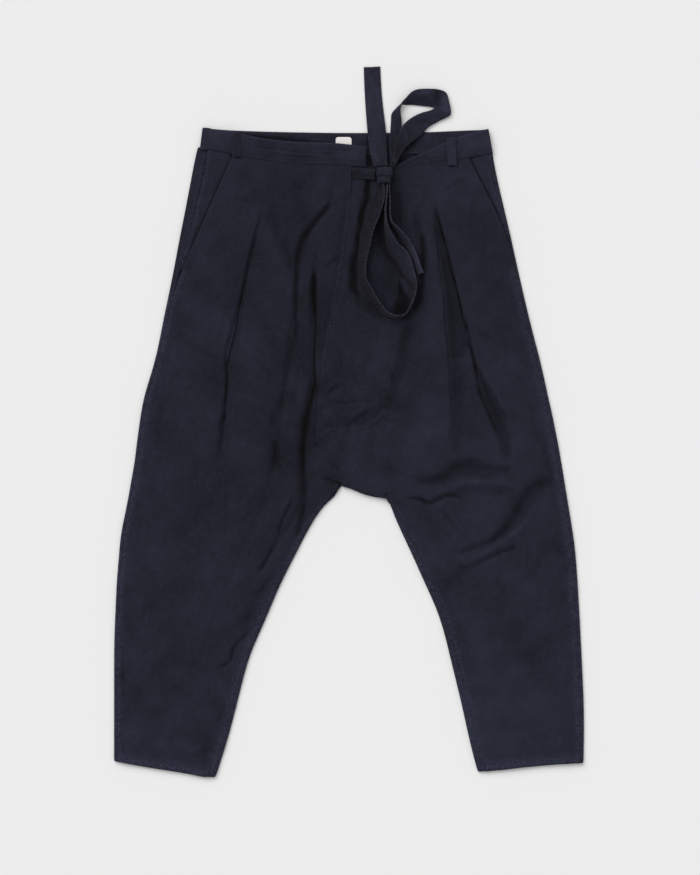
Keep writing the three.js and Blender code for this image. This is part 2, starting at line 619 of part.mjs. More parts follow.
// ---------------------------------------------------------------- the tie
// A stretch of tape from its two edges: (ax, ay, az) and (bx, by, bz) at each station.
const TAPE_EDGES = 'ax ay az bx by bz';
function tape(name, rows) {
  const sections = table(TAPE_EDGES, rows).map(({ ax, ay, az, bx, by, bz }) => {
    const [a, b] = [point(ax, ay, az), point(bx, by, bz)];
    return [a, a.clone().lerp(b, 0.5), b];
  });
  return clothSolid(name, MATERIALS.tape, sections, () => TAPE_WALL);
}

// From under the right front's edge to the knot, bunched.
tape('tie_stretch', [
  [4, 379, 6.4, 4, 361, 6.4],
  [16, 378, 6.8, 16, 363, 6.6],
  [28, 378, 8.4, 28, 364, 8],
  [39, 377, 11, 39, 365, 10.4],
]);

// The free end above the waist, lying over the back band and down on the surface.
tape('tie_tail_up', [
  [23, 531, 1.2, 46, 532, 1.2],
  [24, 496, 1.2, 47, 505, 1.2],
  [26, 466, 1.3, 50, 470, 1.3],
  [28, 440, 3.2, 54, 442, 3.2],
  [30, 420, 4.4, 55.5, 420, 4.4],
  [33, 400, 6.8, 56, 400, 7],
  [38, 381.5, 12, 57, 381.5, 12.6],
]);

// The loop above the waist: up, across the top, and back down over its own start.
tape('tie_loop_up', [
  [60, 383, 12, 69, 386, 12],
  [60, 406, 8, 75, 405, 8],
  [61, 424, 5, 79, 424, 5],
  [62, 440, 3.4, 80, 441, 3.4],
  [63, 462, 2.4, 79, 461, 2.4],
  [72, 471, 2.6, 80, 466, 3.4],
  [84, 482, 3.2, 83, 471, 4.2],
  [100, 497, 2, 96, 474, 3.4],
  [120, 498, 1.8, 116, 473, 2.6],
  [138, 498, 2.4, 129, 472, 3.6],
  [149, 488, 3.4, 131, 471, 4.4],
  [152, 474, 3.4, 131, 469, 5],
  [152, 459, 3.2, 128, 467, 5],
  [132, 447, 4.2, 116, 464, 6.4],
  [112, 435, 6.4, 103, 458, 8.4],
  [97, 423, 8.4, 84, 446, 10.4],
  [84, 409, 11, 72, 425, 12.4],
  [74, 397, 13.6, 64, 405, 14.8],
  [69, 388.5, 16, 61, 391, 16.4],
]);

// A stretch of tape standing on its edge: (lx, ly) is the edge on the cloth, (ux, uy) the edge over
// it, whose height follows from the tape's width.
const STANDING_EDGE = 9.7;
function standingTape(name, rows) {
  tape(name, table('lx ly ux uy', rows).map(({ lx, ly, ux, uy }) => {
    const reach = Math.hypot(ux - lx, uy - ly);
    const rise = Math.sqrt(TAPE_WIDTH ** 2 - reach ** 2);
    return [lx, ly, STANDING_EDGE, ux, uy, STANDING_EDGE + rise];
  }));
}
standingTape('tie_loop_down', [
  [43, 352, 49, 350],
  [34, 334, 47, 330],
  [28, 315, 44, 308],
  [18, 292, 39, 288],
  [15, 262, 30, 258],
  [14, 231, 25, 231],
  [15, 208, 26, 211],
  [24, 189, 38, 194],
  [46, 166, 51, 172],
  [56, 158, 61, 164],
  [70, 154, 72, 160],
  [82, 160, 85, 164],
  [88, 173, 97, 175],
  [86, 193, 101, 196],
  [85, 214, 100, 217],
  [74, 239, 89, 247],
  [60, 260, 71, 270],
  [54, 284, 61, 291],
  [53, 312, 58, 314],
  [53, 334, 57, 335],
  [53, 350, 56, 351],
]);
standingTape('tie_tail_down', [
  [60, 351, 62, 351],
  [61, 325, 65, 325],
  [64, 303, 68, 305],
  [71, 290, 76, 293],
  [83, 270, 89, 274],
  [92, 251, 98, 254],
  [101, 234, 106, 237],
  [107, 224, 112, 227],
]);

// The knot: the tape wrapped once round itself and pulled tight, a flat rounded pad.
function knot() {
  const size = point(12.4, 12.6, 6.4);
  const squareness = 0.62;
  const geometry = new THREE.SphereGeometry(1, 16, 10);
  const position = geometry.getAttribute('position');
  const squared = (value) => Math.sign(value) * Math.abs(value) ** squareness;
  for (let i = 0; i < position.count; i += 1) {
    const [x, y, z] = [position.getX(i), position.getY(i), position.getZ(i)];
    const narrowing = 1 - 0.1 * Math.max(-y, 0);
    position.setXYZ(i, squared(x) * size.x * narrowing, squared(y) * size.y, squared(z) * size.z);
  }
  const mesh = new THREE.Mesh(geometry, MATERIALS.tape);
  mesh.name = 'tie_knot';
  mesh.position.set(53, 367.4, 16.2);
  garment.add(mesh);
}
knot();

// ---------------------------------------------------------------- origin
// The middle of the footprint, on the surface that the garment lies on.
garment.updateMatrixWorld(true);
const reach = new THREE.Box3().setFromObject(garment);
const middle = reach.getCenter(new THREE.Vector3());
garment.position.set(-middle.x, -middle.y, -reach.min.z);

export default garment;
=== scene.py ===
"""Looks of a pair of momohiki pants laid flat: washed navy cotton canvas, pressed seams and a tied
tape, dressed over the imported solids. Lengths in the tables and functions are millimetres."""
import math

import bmesh
import bpy
import numpy as np
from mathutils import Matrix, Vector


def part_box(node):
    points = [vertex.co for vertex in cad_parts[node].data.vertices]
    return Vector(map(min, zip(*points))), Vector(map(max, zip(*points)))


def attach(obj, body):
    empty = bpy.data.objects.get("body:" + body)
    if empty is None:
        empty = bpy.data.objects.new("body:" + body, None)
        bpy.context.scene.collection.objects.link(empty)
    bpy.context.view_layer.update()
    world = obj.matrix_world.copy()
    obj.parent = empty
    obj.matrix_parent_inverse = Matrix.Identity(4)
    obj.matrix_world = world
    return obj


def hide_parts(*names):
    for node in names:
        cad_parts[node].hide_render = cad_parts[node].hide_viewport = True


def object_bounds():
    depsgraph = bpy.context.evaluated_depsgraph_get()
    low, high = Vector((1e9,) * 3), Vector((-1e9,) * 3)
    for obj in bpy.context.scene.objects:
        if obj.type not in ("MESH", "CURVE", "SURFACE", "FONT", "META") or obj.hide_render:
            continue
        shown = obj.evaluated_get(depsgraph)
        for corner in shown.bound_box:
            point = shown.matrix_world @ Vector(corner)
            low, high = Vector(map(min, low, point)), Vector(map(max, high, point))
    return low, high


MM = 0.001
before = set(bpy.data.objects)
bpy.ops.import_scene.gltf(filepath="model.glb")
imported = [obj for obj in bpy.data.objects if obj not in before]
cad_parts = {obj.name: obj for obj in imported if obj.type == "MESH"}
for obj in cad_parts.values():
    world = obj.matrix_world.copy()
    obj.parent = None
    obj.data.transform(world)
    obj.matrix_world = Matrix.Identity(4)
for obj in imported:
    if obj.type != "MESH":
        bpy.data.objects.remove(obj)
cad_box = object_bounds()


# ---- materials
def linear(hex_colour):
    """An sRGB hex value as the linear colour that a shader takes."""
    parts = [int(hex_colour[i:i + 2], 16) / 255 for i in (0, 2, 4)]
    return (*[p / 12.92 if p <= 0.04045 else ((p + 0.055) / 1.055) ** 2.4 for p in parts], 1)


def put(tree, kind, inputs=None, **settings):
    """A node with its settings, and its inputs set to values or linked from sockets. A node given
    as a value stands for its first output."""
    node = tree.nodes.new(kind)
    for name, value in settings.items():
        setattr(node, name, value)
    for socket, value in (inputs or {}).items():
        if isinstance(value, bpy.types.Node):
            value = value.outputs[0]
        if isinstance(value, bpy.types.NodeSocket):
            tree.links.new(value, node.inputs[socket])
        else:
            node.inputs[socket].default_value = value
    return node


def place(name, data):
    """An object in the scene."""
    obj = bpy.data.objects.new(name, data)
    bpy.context.scene.collection.objects.link(obj)
    return obj


def blank_material(name):
    """A material with an empty tree."""
    material = bpy.data.materials.new(name)
    material.use_nodes = True
    material.node_tree.nodes.clear()
    return material, material.node_tree


def new_material(name, base, weave, own_lay=True, **shader):
    """A material of one Principled shader. base gives its colour and weave the height of its bump in
    millimetres, from the tree and the cloth's own coordinates, or else the object's."""
    material, tree = blank_material(name)
    if own_lay:
        lay = put(tree, "ShaderNodeAttribute", attribute_name="lay").outputs["Vector"]
    else:
        metres = put(tree, "ShaderNodeTexCoord").outputs["Object"]
        lay = put(tree, "ShaderNodeVectorMath", {0: metres, "Scale": 1 / MM}, operation="SCALE").outputs[0]
    inputs = {"Base Color": base(tree, lay)}
    if weave:
        inputs["Normal"] = put(tree, "ShaderNodeBump", {
            "Height": weave(tree, lay), "Distance": MM, "Strength": 1.0})
    inputs.update({name.replace("_", " "): value for name, value in shader.items()})
    surface = put(tree, "ShaderNodeBsdfPrincipled", inputs)
    put(tree, "ShaderNodeOutputMaterial", {"Surface": surface})
    return material


# Mottling of the dye: how broad the clouds are in mm, and how much they move the shade.
MOTTLING = ((170, 1.4), (75, 1.2), (34, 1.4), (9, 0.5))
SLUB_LENGTH, SLUB_WIDTH = 14, 0.9
WORN_GRIT = 2.8         # size of the specks that a worn edge breaks into
WASH_CREASE = 11        # size of the fine creases that washing leaves


def dyed(dark, pale, worn_and_highlit, fresh, slub):
    """Garment-dyed and washed cotton: broad and small mottling between two shades, moved by its tone
    with painted light and shade, fine slubs along both yarns, painted shade in creases and shadows,
    and wear with painted highlights, each where its attribute says."""
    def base(tree, lay):
        faded = put(tree, "ShaderNodeAttribute", attribute_name="faded").outputs["Fac"]
        for size, share in MOTTLING:
            clouds = put(tree, "ShaderNodeTexNoise", {
                "Vector": lay, "Scale": 1 / size, "Detail": 3, "Roughness": 0.6})
            level = put(tree, "ShaderNodeMath", {0: clouds, 1: 0.5}, operation="SUBTRACT")
            faded = put(tree, "ShaderNodeMath", {0: level, 1: share, 2: faded}, operation="MULTIPLY_ADD")
        shade = put(tree, "ShaderNodeMapRange", {"Value": faded, "From Min": -0.6, "From Max": 0.6})
        layers = [(shade, pale)]
        for stretch in ((1 / SLUB_LENGTH, 1 / SLUB_WIDTH, 1), (1 / SLUB_WIDTH, 1 / SLUB_LENGTH, 1)):
            yarns = put(tree, "ShaderNodeMapping", {"Vector": lay, "Scale": stretch})
            streak = put(tree, "ShaderNodeTexNoise", {"Vector": yarns, "Scale": 1, "Detail": 2})
            layers.append((put(tree, "ShaderNodeMapRange", {
                "Value": streak, "From Min": 0.5, "From Max": 0.75, "To Max": slub}), worn_and_highlit))
        layers.append((put(tree, "ShaderNodeAttribute", attribute_name="fresh").outputs["Fac"], fresh))
        wear_and_painted_light = put(tree, "ShaderNodeAttribute", attribute_name="wear").outputs["Fac"]
        grit = put(tree, "ShaderNodeTexNoise", {"Vector": lay, "Scale": 1 / WORN_GRIT, "Detail": 2})
        broken = put(tree, "ShaderNodeMapRange", {"Value": grit, "From Min": 0.38, "From Max": 0.66})
        layers.append((put(tree, "ShaderNodeMath", {0: wear_and_painted_light, 1: broken}, operation="MULTIPLY"), worn_and_highlit))
        ground = linear(dark)
        for share, colour in layers:
            ground = put(tree, "ShaderNodeMix", {
                "Factor": share, "A": ground, "B": linear(colour)}, data_type="RGBA").outputs["Result"]
        return ground
    return base


def plain(dark, pale):
    """A colour that wavers a little between two tones."""
    def base(tree, lay):
        tone = put(tree, "ShaderNodeTexNoise", {"Vector": lay, "Scale": 1 / 1.5})
        return put(tree, "ShaderNodeMix", {
            "Factor": tone, "A": linear(dark), "B": linear(pale)}, data_type="RGBA").outputs["Result"]
    return base


def woven(pitch, depth, crumple):
    """Plain weave: warp and weft yarns that pass over and under each other at their real pitch, on
    cloth left finely crumpled by washing."""
    def height(tree, lay):
        waves = []
        for part in put(tree, "ShaderNodeSeparateXYZ", {0: lay}).outputs[:2]:
            turns = put(tree, "ShaderNodeMath", {0: part, 1: math.pi / pitch}, operation="MULTIPLY")
            waves.append(put(tree, "ShaderNodeMath", {0: turns}, operation="SINE"))
        crossing = put(tree, "ShaderNodeMath", {0: waves[0], 1: waves[1]}, operation="MULTIPLY")
        weave = put(tree, "ShaderNodeMath", {0: crossing, 1: depth}, operation="MULTIPLY")
        creases = put(tree, "ShaderNodeTexNoise", {
            "Vector": lay, "Scale": 1 / WASH_CREASE, "Detail": 3, "Roughness": 0.55})
        return put(tree, "ShaderNodeMath", {0: creases, 1: crumple, 2: weave}, operation="MULTIPLY_ADD")
    return height


# Cotton scatters light off its fibres: a rough surface, a low gloss and a faint bloom at grazing view.
COTTON = dict(Roughness=0.86, IOR=1.5, Specular_IOR_Level=0.07, Sheen_Weight=0.04, Sheen_Roughness=0.5)
CANVAS_PITCH = 0.75     # a yarn of a 320 g canvas
TAPE_PITCH = 0.6
LABEL_PITCH = 0.35
canvas = new_material("washed_navy_canvas", dyed("191A22", "282936", "3F4055", "09090B", 0.15),
                      woven(CANVAS_PITCH, 0.035, 0.52), **COTTON)
band_canvas = new_material("interlined_navy_canvas", dyed("191A22", "2A2B38", "414257", "09090B", 0.18),
                           woven(CANVAS_PITCH, 0.035, 0.85), **COTTON)
tape_canvas = new_material("folded_canvas_tape", dyed("15151B", "303040", "4C4D62", "060607", 0.18),
                           woven(TAPE_PITCH, 0.04, 0.5), **COTTON)
# Spun polyester thread, a shade lighter than the cloth and a little glossier.
thread = new_material("navy_sewing_thread", plain("1C1C27", "2B2B39"), None, own_lay=False,
                      Roughness=0.6, IOR=1.5, Specular_IOR_Level=0.25)
# Woven satin label, left blank.
satin = new_material("white_satin_label", plain("E4E2DE", "EFEDE9"), woven(LABEL_PITCH, 0.02, 0.2),
                     Roughness=0.55, IOR=1.5, Specular_IOR_Level=0.3)


# ---- walls read back as cloth grids
WALLS = (1.0, 1.4, 1.8, 2.0, 2.2)       # thicknesses that the solids are made with
THICKEST = 3.0          # a shorter edge across a row's end belongs to the wall's rim
STEEP = 0.3             # a wall's outer face may look down by this share of its normal
OPPOSITE = 0.8          # its inner face looks the other way by at least this share
SEARCH = 30             # the first triangle may lie this much further from the start than the nearest


def merged(node):
    """Points in millimetres and triangles of a solid, with its loose triangles joined up."""
    bm = bmesh.new()
    bm.from_mesh(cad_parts[node].data)
    bmesh.ops.remove_doubles(bm, verts=bm.verts, dist=1e-6)
    bm.verts.index_update()
    points = np.array([v.co for v in bm.verts]) / MM
    triangles = [tuple(v.index for v in f.verts) for f in bm.faces]
    bm.free()
    return points, triangles


def trace_face(points, triangles, seed, down, slack):
    """The grid place (row, column) of each point on one face of a wall, going from triangle to
    triangle. Each has a column edge, a row edge and a diagonal, in that order round it."""
    owner = {(t[k], t[k - 2]): n for n, t in enumerate(triangles) for k in range(3)}

    def length(p, q):
        return np.linalg.norm(points[p] - points[q])

    t = triangles[seed]
    along = [abs((points[t[k - 2]] - points[t[k]]) @ down) / length(t[k], t[k - 2]) for k in range(3)]
    k = int(np.argmin(along))
    a, b, c = t[k - 1], t[k], t[k - 2]
    turn = 1 if (points[b] - points[a]) @ down > 0 else -1
    places = {a: (0, 0), b: (turn, 0), c: (turn, turn)}
    done = {seed}
    waiting = [(a, b, c, turn)]
    while waiting:
        a, b, c, turn = waiting.pop()
        for kind, p, q in (("column", a, b), ("row", b, c), ("diagonal", c, a)):
            n = owner[(q, p)]
            if n in done:
                continue
            third = next(v for v in triangles[n] if v not in (p, q))
            after, before = length(p, third), length(third, q)
            if kind == "column" and min(abs(after - wall) for wall in WALLS) < slack:
                continue
            if kind == "row" and after < before and after < THICKEST:
                continue
            done.add(n)
            beside, rows, columns, corners = {
                "column": (p, 0, -turn, (q, p, third)),
                "row": (q, turn, 0, (third, q, p)),
                "diagonal": (p, -turn, 0, (p, third, q))}[kind]
            places[third] = (places[beside][0] + rows, places[beside][1] + columns)
            waiting.append((*corners, -turn))
    return places


def read_wall(node, start, down, slack):
    """The two faces of a solid's wall as grids of points, [row, column]. start is a place on the
    piece, down the way that its rows go on there, and slack how far a rim's edge may be off."""
    points, triangles = merged(node)
    down = np.array(down, float)
    corners = points[np.array(triangles)]
    centres = corners.mean(1)
    normals = np.cross(corners[:, 1] - corners[:, 0], corners[:, 2] - corners[:, 0])
    areas = np.linalg.norm(normals, axis=1)
    near = np.linalg.norm(centres - np.array(start), axis=1)
    upward = normals[:, 2] > -STEEP * areas
    first = int(np.argmax(areas * upward * (near < near[upward].min() + SEARCH)))
    turned_away = normals @ normals[first] / areas[first] < -OPPOSITE * areas
    behind = np.linalg.norm(centres - centres[first], axis=1) + 1e6 * ~turned_away - 0.02 * areas
    second = int(np.argmin(behind))
    grids = []
    for seed in (first, second):
        places = trace_face(points, triangles, seed, down, slack)
        index = np.array(list(places.values()))
        index -= index.min(0)
        grid = np.full((*(index.max(0) + 1), 3), np.nan)
        grid[index[:, 0], index[:, 1]] = points[list(places)]
        grids.append(grid)
    return grids[0], grids[1][:, ::-1]


# ---- finer grids
def spline_lines(spans, step):
    """Matrix from a grid's lines to finer ones on a smooth curve, and how many lie in each span."""
    count = len(spans) + 1
    parts = [max(1, math.ceil(span / step)) for span in spans]
    places = [(i, p / n) for i, n in enumerate(parts) for p in range(n)] + [(count - 1, 0)]
    full = np.zeros((len(places), count + 3))
    for row, (i, f) in enumerate(places):
        weights = ((1 - f) ** 3, 3 * f ** 3 - 6 * f ** 2 + 4, 3 * (f + f ** 2 - f ** 3) + 1, f ** 3)
        full[row, i:i + 4] = np.array(weights) / 6
    lines = full[:, 1:count + 1].copy()
    lines[:, 0] += 2 * full[:, 0]
    lines[:, 1] -= full[:, 0]
    lines[:, -1] += 2 * full[:, count + 1]
    lines[:, -2] -= full[:, count + 1]
    return lines, parts


def straight_lines(spans, step):
    """The same with straight spans, rounded a little where they meet by two smoothing passes."""
    parts = [max(2, math.ceil(span / step)) for span in spans]
    places = np.concatenate([i + np.arange(n) / n for i, n in enumerate(parts)] + [[len(spans)]])
    lines = np.array([np.interp(places, range(len(spans) + 1), one) for one in np.eye(len(spans) + 1)]).T
    for _ in range(2):
        lines[1:-1] = (lines[:-2] + 2 * lines[1:-1] + lines[2:]) / 4
    return lines, parts


def fill_notch(grid):
    """Points for the part of a grid that the piece leaves out, so that the lines beside it can run
    on. They carry no cloth."""
    grid = grid.copy()
    for i, j in np.argwhere(np.isnan(grid[..., 0])):
        there = np.flatnonzero(~np.isnan(grid[i, :, 0]))
        k = there[np.argmin(abs(there - j))]
        grid[i, j] = grid[i, k] + grid[i - 1, j] - grid[i - 1, k]
    return grid


def fine_sheet(node, start, down, steps, slack=0.02):
    """Middle surface, half wall and cells of cloth of a piece, on a grid fine enough for folds.
    steps are its spacing along its rows' way and across it."""
    top, bottom = read_wall(node, start, down, slack)
    there = ~np.isnan(top[..., 0])
    cells = there[1:, 1:] & there[:-1, 1:] & there[1:, :-1] & there[:-1, :-1]
    top, bottom = fill_notch(top), fill_notch(bottom)
    middle, half = (top + bottom) / 2, (top - bottom) / 2
    spans = [np.linalg.norm(np.diff(middle, axis=a), axis=2).max(1 - a) for a in (0, 1)]
    down_lines, row_parts = spline_lines(spans[0], steps[0])
    cross_lines, column_parts = straight_lines(spans[1], steps[1])
    fine = [np.einsum("ri,ijk,cj->rck", down_lines, grid, cross_lines) for grid in (middle, half)]
    return new_sheet(node, fine[0], fine[1], np.repeat(np.repeat(cells, row_parts, 0), column_parts, 1))


def new_sheet(name, middle, half, cells):
    """A sheet of cloth on a grid: its points and half wall, which cells and points carry cloth, its
    wear with painted highlights, its painted shade, and its tone with painted light and shade."""
    framed = np.pad(cells, 1)
    cloth = framed[1:, 1:] | framed[:-1, 1:] | framed[1:, :-1] | framed[:-1, :-1]
    return dict(name=name, middle=middle, half=half, cells=cells, cloth=cloth, wear=np.zeros(cloth.shape),
                fresh=np.zeros(cloth.shape), faded=tone_and_light(middle[..., 0], middle[..., 1]))


# Patches where the cloth is painted darker, below zero, or lighter: amount, centre, reach across and along.
# Most follow its tone; those beside and inside the tie's hanging loop are painted shade.
TONE_AND_LIGHT_PATCHES = [
    (-0.36, -70, 120, 130, 250), (-0.16, 30, 240, 60, 130), (-0.12, -80, 0, 40, 160),
    (0.26, 345, -240, 30, 150), (0.3, -300, -560, 140, 90), (0.34, 260, -560, 120, 130),
    (0.3, 190, -380, 28, 90), (0.1, -340, -300, 30, 150), (0.16, 150, 40, 60, 90), (-0.22, 40, -45, 60, 45),
    (-0.22, 28, -25, 26, 26), (-0.2, 130, -80, 80, 26), (-0.16, 185, 30, 26, 90), (-0.2, 238, -130, 28, 26),
    (-0.22, -182, 50, 26, 120), (-0.25, -130, 80, 28, 28), (-0.2, -77, 185, 22, 26),
    (-0.22, 82, 280, 24, 100), (0.3, 5, 402, 22, 12), (-0.2, -120, 420, 50, 9), (0.4, 205, 420, 30, 14),
    (0.3, 123, 404, 12, 9), (-0.25, -125, 422, 16, 9), (0.2, -205, 425, 28, 14), (-0.14, -287, 80, 26, 30),
    (0.16, -345, -250, 22, 150),
]


def tone_and_light(x, y):
    """How much the patches darken or lighten the cloth at each point, tone and painted shade together."""
    return 0.01 + sum(amount * np.exp(-((x - at) / wide) ** 2 - ((y - level) / high) ** 2)
                      for amount, at, level, wide, high in TONE_AND_LIGHT_PATCHES)


def xy(sheet):
    """Views of the x and the y of a sheet's points."""
    return sheet["middle"][..., 0], sheet["middle"][..., 1]


def ramp(values, start, span):
    """0 up to a start and 1 from a span further on, or the other way round where it is negative."""
    return np.clip((values - start) / span, 0, 1)


def deepen(sheet, mark, share):
    """Raises one of the cloth's marks (wear with painted highlights, painted shade) to a share where it is
    less.
    """
    sheet[mark] = np.maximum(sheet[mark], share)


def facing(grid, side):
    """A grid turned so that the side is its first column. It is a view, so what is written to it
    changes the grid."""
    turned = np.swapaxes(grid, 0, 1) if side in ("top", "bottom") else grid
    return turned[:, ::-1] if side in ("right", "bottom") else turned


FAR = 1e4


def from_edge(sheet, side):
    """Distance of each point of a sheet from one of its sides, over the cloth, and the distance
    along that side. Points that carry no cloth are far from it."""
    grid, cloth = facing(sheet["middle"], side), facing(sheet["cloth"], side)
    steps = np.linalg.norm(np.diff(grid, axis=1), axis=2)
    reach = np.cumsum(np.pad(steps, [(0, 0), (1, 0)]), axis=1)
    lines = np.arange(len(grid))
    first = np.argmax(cloth, axis=1)
    edge = grid[lines, first]
    away, along = np.empty(sheet["cloth"].shape), np.empty(sheet["cloth"].shape)
    facing(away, side)[:] = np.where(cloth, reach - reach[lines, first][:, None], FAR)
    spans = np.linalg.norm(np.diff(edge, axis=0), axis=1)
    facing(along, side)[:] = np.concatenate([[0], np.cumsum(spans)])[:, None]
    return away, along


# ---- relief of the cloth
def ripple(x, y, wavelength, seed):
    """A soft uneven surface of about that wavelength, between about -1 and 1."""
    chance = np.random.default_rng(seed)
    total = np.zeros_like(x)
    for _ in range(9):
        angle, phase = chance.uniform(0, 2 * math.pi, 2)
        pitch = wavelength * chance.uniform(0.7, 1.5)
        total += np.cos(2 * math.pi * (x * math.cos(angle) + y * math.sin(angle)) / pitch + phase)
    return total / 4


def rounded(points):
    """A polyline through the points with its corners rounded."""
    points = np.array(points, float)
    before = np.vstack([2 * points[0] - points[1], points[:-1]])
    after = np.vstack([points[1:], 2 * points[-1] - points[-2]])
    line = []
    for k in range(len(points) - 1):
        a, b, c, d = before[k], points[k], points[k + 1], after[k + 1]
        for f in np.arange(0, 1, 0.2):
            line.append(b + 0.5 * f * (c - a + f * (2 * a - 5 * b + 4 * c - d + f * (3 * (b - c) + d - a))))
    return np.array([*line, points[-1]])


def to_line(x, y, line):
    """Distance to a polyline, and the share of its length where that is."""
    best = np.full(x.shape, np.inf)
    share = np.zeros_like(x)
    steps = np.linalg.norm(np.diff(line, axis=0), axis=1)
    so_far = np.concatenate([[0], np.cumsum(steps)])
    for k, (p, q) in enumerate(zip(line[:-1], line[1:])):
        d = (q - p) / steps[k]
        t = np.clip((x - p[0]) * d[0] + (y - p[1]) * d[1], 0, steps[k])
        distance = np.hypot(x - p[0] - t * d[0], y - p[1] - t * d[1])
        nearer = distance < best
        best = np.where(nearer, distance, best)
        share = np.where(nearer, (so_far[k] + t) / so_far[-1], share)
    return best, share


def near_line(x, y, line, reach, loose, wander):
    """Which points lie near a line that wanders a little, how far each is off it, and the share of
    its length there."""
    low, high = line.min(0) - reach, line.max(0) + reach
    close = (x > low[0]) & (x < high[0]) & (y > low[1]) & (y < high[1])
    return close, *to_line((x + loose * wander[0])[close], (y + loose * wander[1])[close], line[:, :2])


FOLD_END = 22           # length over which a fold dies out at its ends


def press(x, y, folds):
    """Height that a table of folds adds at each point. Each wanders and swells a little."""
    total = np.zeros_like(x)
    wander = [1.3 * ripple(x, y, 34, seed) + 0.5 * ripple(x, y, 11, seed + 1) for seed in (11, 13)]
    swell = 1 + 0.28 * ripple(x, y, 30, 15)
    for height, width, points in folds:
        line = rounded(np.reshape(points, (-1, 2)))
        close, away, share = near_line(x, y, line, 3 * width + 4, min(1, width / 6) ** 1.5, wander)
        length = np.linalg.norm(np.diff(line, axis=0), axis=1).sum()
        ends = np.clip(np.minimum(share, 1 - share) / np.clip(FOLD_END / length, 0.2, 0.5), 0, 1)
        profile = 0.6 * np.exp(-(away / width) ** 2) + 0.4 * np.exp(-(away / (0.55 * width)) ** 2)
        total[close] += height * swell[close] * profile * ends ** 2 * (3 - 2 * ends)
    return total


